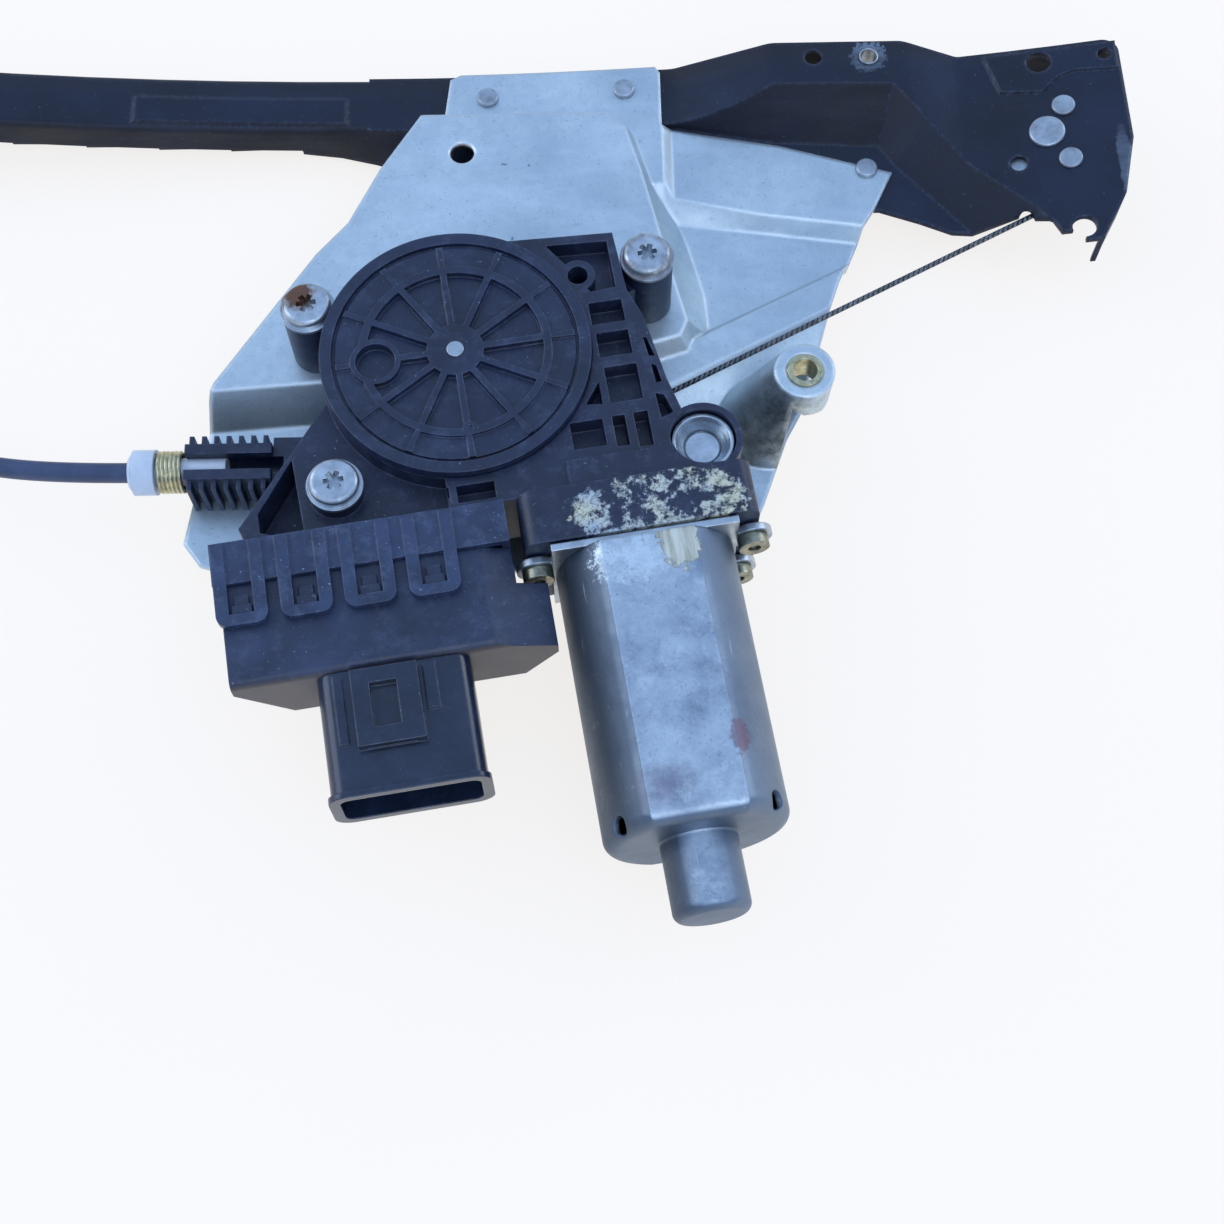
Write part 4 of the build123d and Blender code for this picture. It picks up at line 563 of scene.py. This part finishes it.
def aged_bolts():
    material = plated_metal("zinc plated bolt steel", "C6CFD6", "97A2AC", "6C757E", 0.3, 0.3, 0.48, 4.0)
    tree, place, skin, colour = reopened(material)
    grain = noise(tree, place, 2.5, 6.0, 0.7)
    rust = laid_over(tree, grain, "43312A", "7A523B")
    x, y = on_unit(*RUSTY_BOLT)
    rusty = patch(tree, place, (x / MM - 3.0, y / MM + 3.0, 14.0), (6.0, 6.0, 12.0), 3.5, 0.4)
    flat = add(tree, "Mapping", {"Vector": place, "Scale": (1, 1, 0)})
    far = add(tree, "VectorMath", {"operation": "DISTANCE", 0: flat, 1: (*on_unit(*BROWN_RIM_BOLT), 0)})
    rim = ramp(tree, far, 4.2 * MM, 5.4 * MM, high=0.55)
    near = ramp(tree, far, 13 * MM, 12 * MM)
    rim = product(tree, rim, near)
    worn = ramp(tree, grain, 0.38, 0.6)
    rim = product(tree, rim, worn)
    share = add(tree, "Math", {"operation": "MAXIMUM", 0: rusty, 1: rim})
    mixed = laid_over(tree, share, colour, rust)
    tree.links.new(mixed.outputs[2], skin.inputs["Base Color"])
    dull = add(tree, "Math", {"operation": "MULTIPLY_ADD", 0: share, 1: -0.7, 2: 0.95})
    tree.links.new(dull.outputs[0], skin.inputs["Metallic"])
    return material


# %% [markdown]
# ## Turned steel and twisted wire
#
# The sealing cup was turned on a lathe, so its face carries fine rings about its own centre, and a
# dark line of painted shade runs round its floor. The cable is a rope of seven strands: seen close up,
# short slanted bands cross it, and the grooves between them are darkened with painted shade. Both are
# wave patterns, rings for the lathe and bands along the cable for the strands, drawn as coarse as
# shows.

# %% Turned steel and wire rope
# radius in millimetres of the dark line of painted shade round the cup's floor
CUP_DISC = 4.8


def turned_steel():
    material = plated_metal("turned bright steel", "C8D0D6", "A4ADB5", "7A828A", 0.25, 0.16, 0.3, 5.0)
    tree, place, skin, colour = reopened(material)
    low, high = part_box("sealing_cup")
    centre = tuple((low[axis] + high[axis]) / 2 for axis in (0, 1)) + (0.0,)
    local = add(tree, "Mapping", {"vector_type": "TEXTURE", "Location": centre, "Vector": place})
    rings = add(tree, "TexWave", {
        "wave_type": "RINGS", "rings_direction": "Z", "Vector": local,
        "Scale": per_metre(3.2), "Distortion": 0.3,
    })
    # painted shade: a dark line round the cup's floor
    far = add(tree, "Mapping", {"Vector": local, "Scale": (1, 1, 0)})
    far = add(tree, "VectorMath", {"operation": "LENGTH", 0: far})
    outline = add(tree, "Math", {"operation": "SUBTRACT", 0: far, 1: CUP_DISC * MM})
    outline = add(tree, "Math", {"operation": "ABSOLUTE", 0: outline})
    outline = ramp(tree, outline, 0.45 * MM, 0.2 * MM, high=0.8)
    mixed = laid_over(tree, outline, colour, "3A444E")
    tree.links.new(mixed.outputs[2], skin.inputs["Base Color"])
    before = skin.inputs["Normal"].links[0].from_socket
    bump = add(tree, "Bump", {
        "Height": rings, "Normal": before, "Distance": 0.02 * MM, "Strength": 1.0,
    })
    tree.links.new(bump.outputs[0], skin.inputs["Normal"])
    return material


# turn of the seen cable about the vertical, from the long axis of the part
CABLE_TURN = radians(26.5)


def wire_rope():
    material = plated_metal(
        "greased steel wire rope", "7C8288", "565B60", "2E2B28", 0.4, 0.34, 0.5, 2.0,
    )
    tree, place, skin, colour = reopened(material)
    along = add(tree, "Mapping", {
        "vector_type": "TEXTURE", "Rotation": (0, 0, CABLE_TURN), "Vector": place,
    })
    slant = add(tree, "Mapping", {"Vector": along, "Rotation": (0, 0, radians(38))})
    bands = add(tree, "TexWave", {"bands_direction": "X", "Vector": slant, "Scale": per_metre(4.2)})
    # painted shade darkens the grooves between the strands
    groove = ramp(tree, bands, 0.45, 0.1, high=0.75)
    mixed = laid_over(tree, groove, colour, "1C1B1A")
    tree.links.new(mixed.outputs[2], skin.inputs["Base Color"])
    bump = add(tree, "Bump", {"Height": bands, "Distance": 0.25 * MM, "Strength": 1.0})
    tree.links.new(bump.outputs[0], skin.inputs["Normal"])
    return material


# %% [markdown]
# ## One finish for each kind of surface
#
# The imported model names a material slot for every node. Most nodes take their slot's finish, and a
# few pieces with marks of their own take a special one.

# %% Finishes by material slot
finishes = {
    "black_paint": black_dipped_paint(),
    "galvanised_steel": galvanised_sheet(),
    "black_plastic": moulded_nylon("glass filled black nylon", "0E172B", "1A2643", 0.3, 0.46, 0.2),
    "gloss_black_plastic": moulded_nylon("glossy black nylon", "141C2C", "1F2A40", 0.14, 0.26, 0.08),
    "pulley_plastic": moulded_nylon("dark acetal", "1E1E1E", "2A2A2A", 0.3, 0.45),
    "sheath_plastic": moulded_nylon(
        "dark blue grey sheath plastic", "2A3650", "384866", 0.36, 0.46, 0.1,
    ),
    "ferrule_plastic": moulded_nylon("black ferrule plastic", "101726", "1A2438", 0.3, 0.4),
    "rubber": moulded_nylon("black rubber", "121212", "1C1C1C", 0.6, 0.75),
    "bright_zinc": plated_metal("bright zinc plate", "C3CCD2", "9AA4AC", "5B5048", 0.3, 0.26, 0.44),
    "pale_zinc": plated_metal("dulled zinc plate", "B9C2CA", "98A1AA", "5E584F", 0.4, 0.4, 0.55),
    "bolt_steel": aged_bolts(),
    "brushed_steel": turned_steel(),
    "yellow_zinc": plated_metal(
        "yellow passivated zinc", "D6CFA8", "A8A384", "5E5136", 0.5, 0.24, 0.4, 2.0,
    ),
    "cable_steel": wire_rope(),
    "machined_steel": plated_metal("machined steel", "B8BCC0", "94999E", "6A6A68", 0.2, 0.2, 0.35),
    "sintered_bronze": plated_metal("sintered bronze", "A98350", "8A6A40", "4A3A24", 0.3, 0.4, 0.55),
    "copper": plated_metal("enamelled copper", "B4673A", "8E4F2C", "5A3420", 0.2, 0.2, 0.35),
    "contact_brass": plated_metal("tinned brass", "C9B684", "A5946A", "6E6248", 0.2, 0.25, 0.4),
    "gear_plastic": moulded_nylon("natural acetal", "D8D3C0", "E6E2D2", 0.25, 0.35),
    "pale_plastic": moulded_nylon("white moulded nylon", "B9C3CE", "D5DCE3", 0.25, 0.38, 0.12),
    "magnet": moulded_nylon("sintered ferrite", "202124", "2C2D30", 0.6, 0.7),
    "board": moulded_nylon("green circuit board", "0E3A1E", "14522B", 0.3, 0.4),
}
own_finish = {
    "motor_can": dull_zinc_can(),
    "gear_housing": nylon_with_torn_paper(),
    "electronics_housing": moulded_nylon("dusty black nylon", "141D30", "26334F", 0.32, 0.5, 0.25, 0.7),
    "electronics_cover": moulded_nylon("scuffed black nylon", "18233A", "2F3F60", 0.34, 0.5, 0.4),
    "motor_screws": plated_metal(
        "screws dulled yellow", "A8A690", "7C7B6C", "4A463C", 0.5, 0.3, 0.45, 2.5,
    ),
}
slot_of = {part["node"]: part["material_slot"] for part in frame["record"]["subparts"]}
for name, piece in nodes.items():
    piece.data.materials.clear()
    piece.data.materials.append(own_finish.get(name, finishes[slot_of[name]]))
print("finishes", len(finishes) + len(own_finish))

# %% [markdown]
# ## The wound spring
#
# A yellow coil spring takes up the slack of the cable sheath. In the imported model it is a plain coil.
# Here the wire is a small circle that a Screw modifier winds round the spring's axis, which is how a
# spring is made: one wire, wound at an even pitch. The coil is pressed together when the white
# ferrule moves.

# %% Wound spring
# the coil's ends along X, its axis in Y and Z, its radius and its wire, in millimetres
SPRING_LEFT, SPRING_RIGHT = -178.7, -171.7
SPRING_AXIS = (-19.2, -17.0)
SPRING_RADIUS = 5.4
WIRE = 1.15
WIRE_SIDES = 12
TURNS = 6
TURN_STEPS = 32

bpy.ops.object.select_all(action="DESELECT")
bpy.ops.mesh.primitive_circle_add(vertices=WIRE_SIDES, radius=WIRE / 2 * MM, location=(0, 0, 0))
spring = bpy.context.object
spring.name = "wound_spring"
bpy.ops.object.mode_set(mode="EDIT")
bpy.ops.transform.translate(value=(0, SPRING_RADIUS * MM, 0))
bpy.ops.object.mode_set(mode="OBJECT")
screw = spring.modifiers.new("wind", "SCREW")
screw.axis = "X"
screw.screw_offset = (SPRING_RIGHT - SPRING_LEFT) / TURNS * MM
screw.iterations = TURNS
screw.steps = screw.render_steps = TURN_STEPS
bpy.ops.object.modifier_apply(modifier=screw.name)
bpy.ops.object.mode_set(mode="EDIT")
bpy.ops.mesh.select_all(action="DESELECT")
bpy.ops.mesh.select_non_manifold()
bpy.ops.mesh.fill_holes(sides=0)
bpy.ops.mesh.select_all(action="SELECT")
bpy.ops.mesh.normals_make_consistent(inside=False)
bpy.ops.transform.translate(value=(SPRING_LEFT * MM, SPRING_AXIS[0] * MM, SPRING_AXIS[1] * MM))
bpy.ops.object.mode_set(mode="OBJECT")
bpy.ops.object.shade_smooth_by_angle(angle=radians(40))
spring.data.materials.append(finishes["yellow_zinc"])
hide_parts("tensioner_spring")
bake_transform(spring)
print("spring faces", len(spring.data.polygons))

# %% [markdown]
# ## The cable sheath
#
# The cable runs from the drum to the rail's narrow end inside a plastic sheath, stiff enough to span
# the gap in one smooth sweep. A cord like this is a curve: a few points that a designer would choose,
# one smooth NURBS line through them, and a round section. The points are those of the model.

# %% Cable sheath
# points of the centre line and diameter of the model, in millimetres
SHEATH_POINTS = (
    (-392.4, 61.7, 8.9), (-365.6, 61.7, 0.8), (-338.0, 54.5, -6.8),
    (-313.0, 39.0, -12.5), (-289.0, 19.0, -16.0), (-264.0, -1.0, -17.2),
    (-236.0, -14.6, -17.4), (-206.5, -19.2, -17.0), (-179.0, -19.2, -17.0),
)
SHEATH_DIAMETER = 5.7

sheath_curve = bpy.data.curves.new("cable_sheath_tube", "CURVE")
sheath_curve.dimensions = "3D"
sheath_curve.bevel_depth = SHEATH_DIAMETER / 2 * MM
sheath_curve.bevel_resolution = 6
sheath_curve.use_fill_caps = True
spline = sheath_curve.splines.new("NURBS")
spline.points.add(len(SHEATH_POINTS) - 1)
for point, place in zip(spline.points, SHEATH_POINTS):
    point.co = (*(value * MM for value in place), 1.0)
spline.order_u = 3
spline.use_endpoint_u = True
spline.resolution_u = 16
sheath = bpy.data.objects.new("cable_sheath_tube", sheath_curve)
bpy.context.collection.objects.link(sheath)
sheath_curve.materials.append(finishes["sheath_plastic"])
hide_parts("cable_sheath")
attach(sheath, "root")
print("sheath", len(SHEATH_POINTS), "points")

# %% [markdown]
# ## Floor and light
#
# The photograph has a white ground, so the floor is pale and looks white to the camera, yet still
# takes a soft shadow, and what the camera sees beyond it is white too. A grey horizon that turns to
# blue overhead lights the part as open shade does, and three soft lamps add the gleam on the folds.

# %% Floor
FLOOR_SIZE = 6.0
FLOOR_GAP = 2 * MM
# share of plain white in what the camera, or a mirror, sees of the floor
SEEN_WHITE = 0.82
floor_level = cad_box[0][2] - FLOOR_GAP
bpy.ops.object.select_all(action="DESELECT")
bpy.ops.mesh.primitive_plane_add(size=FLOOR_SIZE, location=(0, 0, floor_level))
floor = bpy.context.object
floor.name = "floor"
bpy.ops.object.transform_apply(location=True)
floor_finish, tree, place = new_finish("pale studio floor")
matt = add(tree, "BsdfPrincipled", {"Base Color": "F2F3F5", "Roughness": 0.9})
ray = add(tree, "LightPath")
seen = add(tree, "Math", {
    "operation": "MAXIMUM", 0: ray.outputs["Is Camera Ray"], 1: ray.outputs["Is Glossy Ray"],
})
seen = add(tree, "Math", {"operation": "MAXIMUM", 0: seen, 1: ray.outputs["Is Transmission Ray"]})
share = product(tree, seen, SEEN_WHITE)
glow = add(tree, "Emission", {"Color": "FFFCF8", "Strength": 1.0})
both = add(tree, "MixShader", {0: share, 1: matt, 2: glow})
add(tree, "OutputMaterial", {"Surface": both})
floor.data.materials.append(floor_finish)

# %% Sky
SKY_STRENGTH = 1.08
world = bpy.data.worlds.new("daylight room")
world.use_nodes = True
bpy.context.scene.world = world
tree = world.node_tree
tree.nodes.clear()
way = add(tree, "TexCoord").outputs["Generated"]
height = add(tree, "SeparateXYZ", {"Vector": way}).outputs["Z"]
rise = ramp(tree, height, 0.0, 0.4)
tint = laid_over(tree, rise, "D6DEE8", "B4D2FF")
sky = add(tree, "Background", {"Color": tint, "Strength": SKY_STRENGTH})
seen = add(tree, "LightPath").outputs["Is Camera Ray"]
white = add(tree, "Background", {"Color": "FCFCFC", "Strength": 1.0})
both = add(tree, "MixShader", {0: seen, 1: sky, 2: white})
add(tree, "OutputWorld", {"Surface": both})

# %% Lamps
# name, place in metres, size in metres, watts, colour
LAMPS = (
    ("window", (-1.1, 0.35, 0.6), 0.8, 4.0, "F0F6FF"),
    ("overhead", (0.2, -0.75, 1.15), 0.8, 4.0, "F0F6FF"),
    ("far side", (0.9, 0.6, 0.5), 0.5, 2.0, "F0F6FF"),
)
AIM = Vector((-0.06, 0.0, 0.0))
for name, place, size, power, colour in LAMPS:
    lamp_data = bpy.data.lights.new(name, "AREA")
    lamp_data.size = size
    lamp_data.energy = power
    lamp_data.color = linear(colour)[:3]
    lamp = bpy.data.objects.new(name, lamp_data)
    lamp.location = place
    lamp.rotation_euler = (AIM - Vector(place)).to_track_quat("-Z", "Y").to_euler()
    bpy.context.collection.objects.link(lamp)
print("lamps", len(LAMPS))
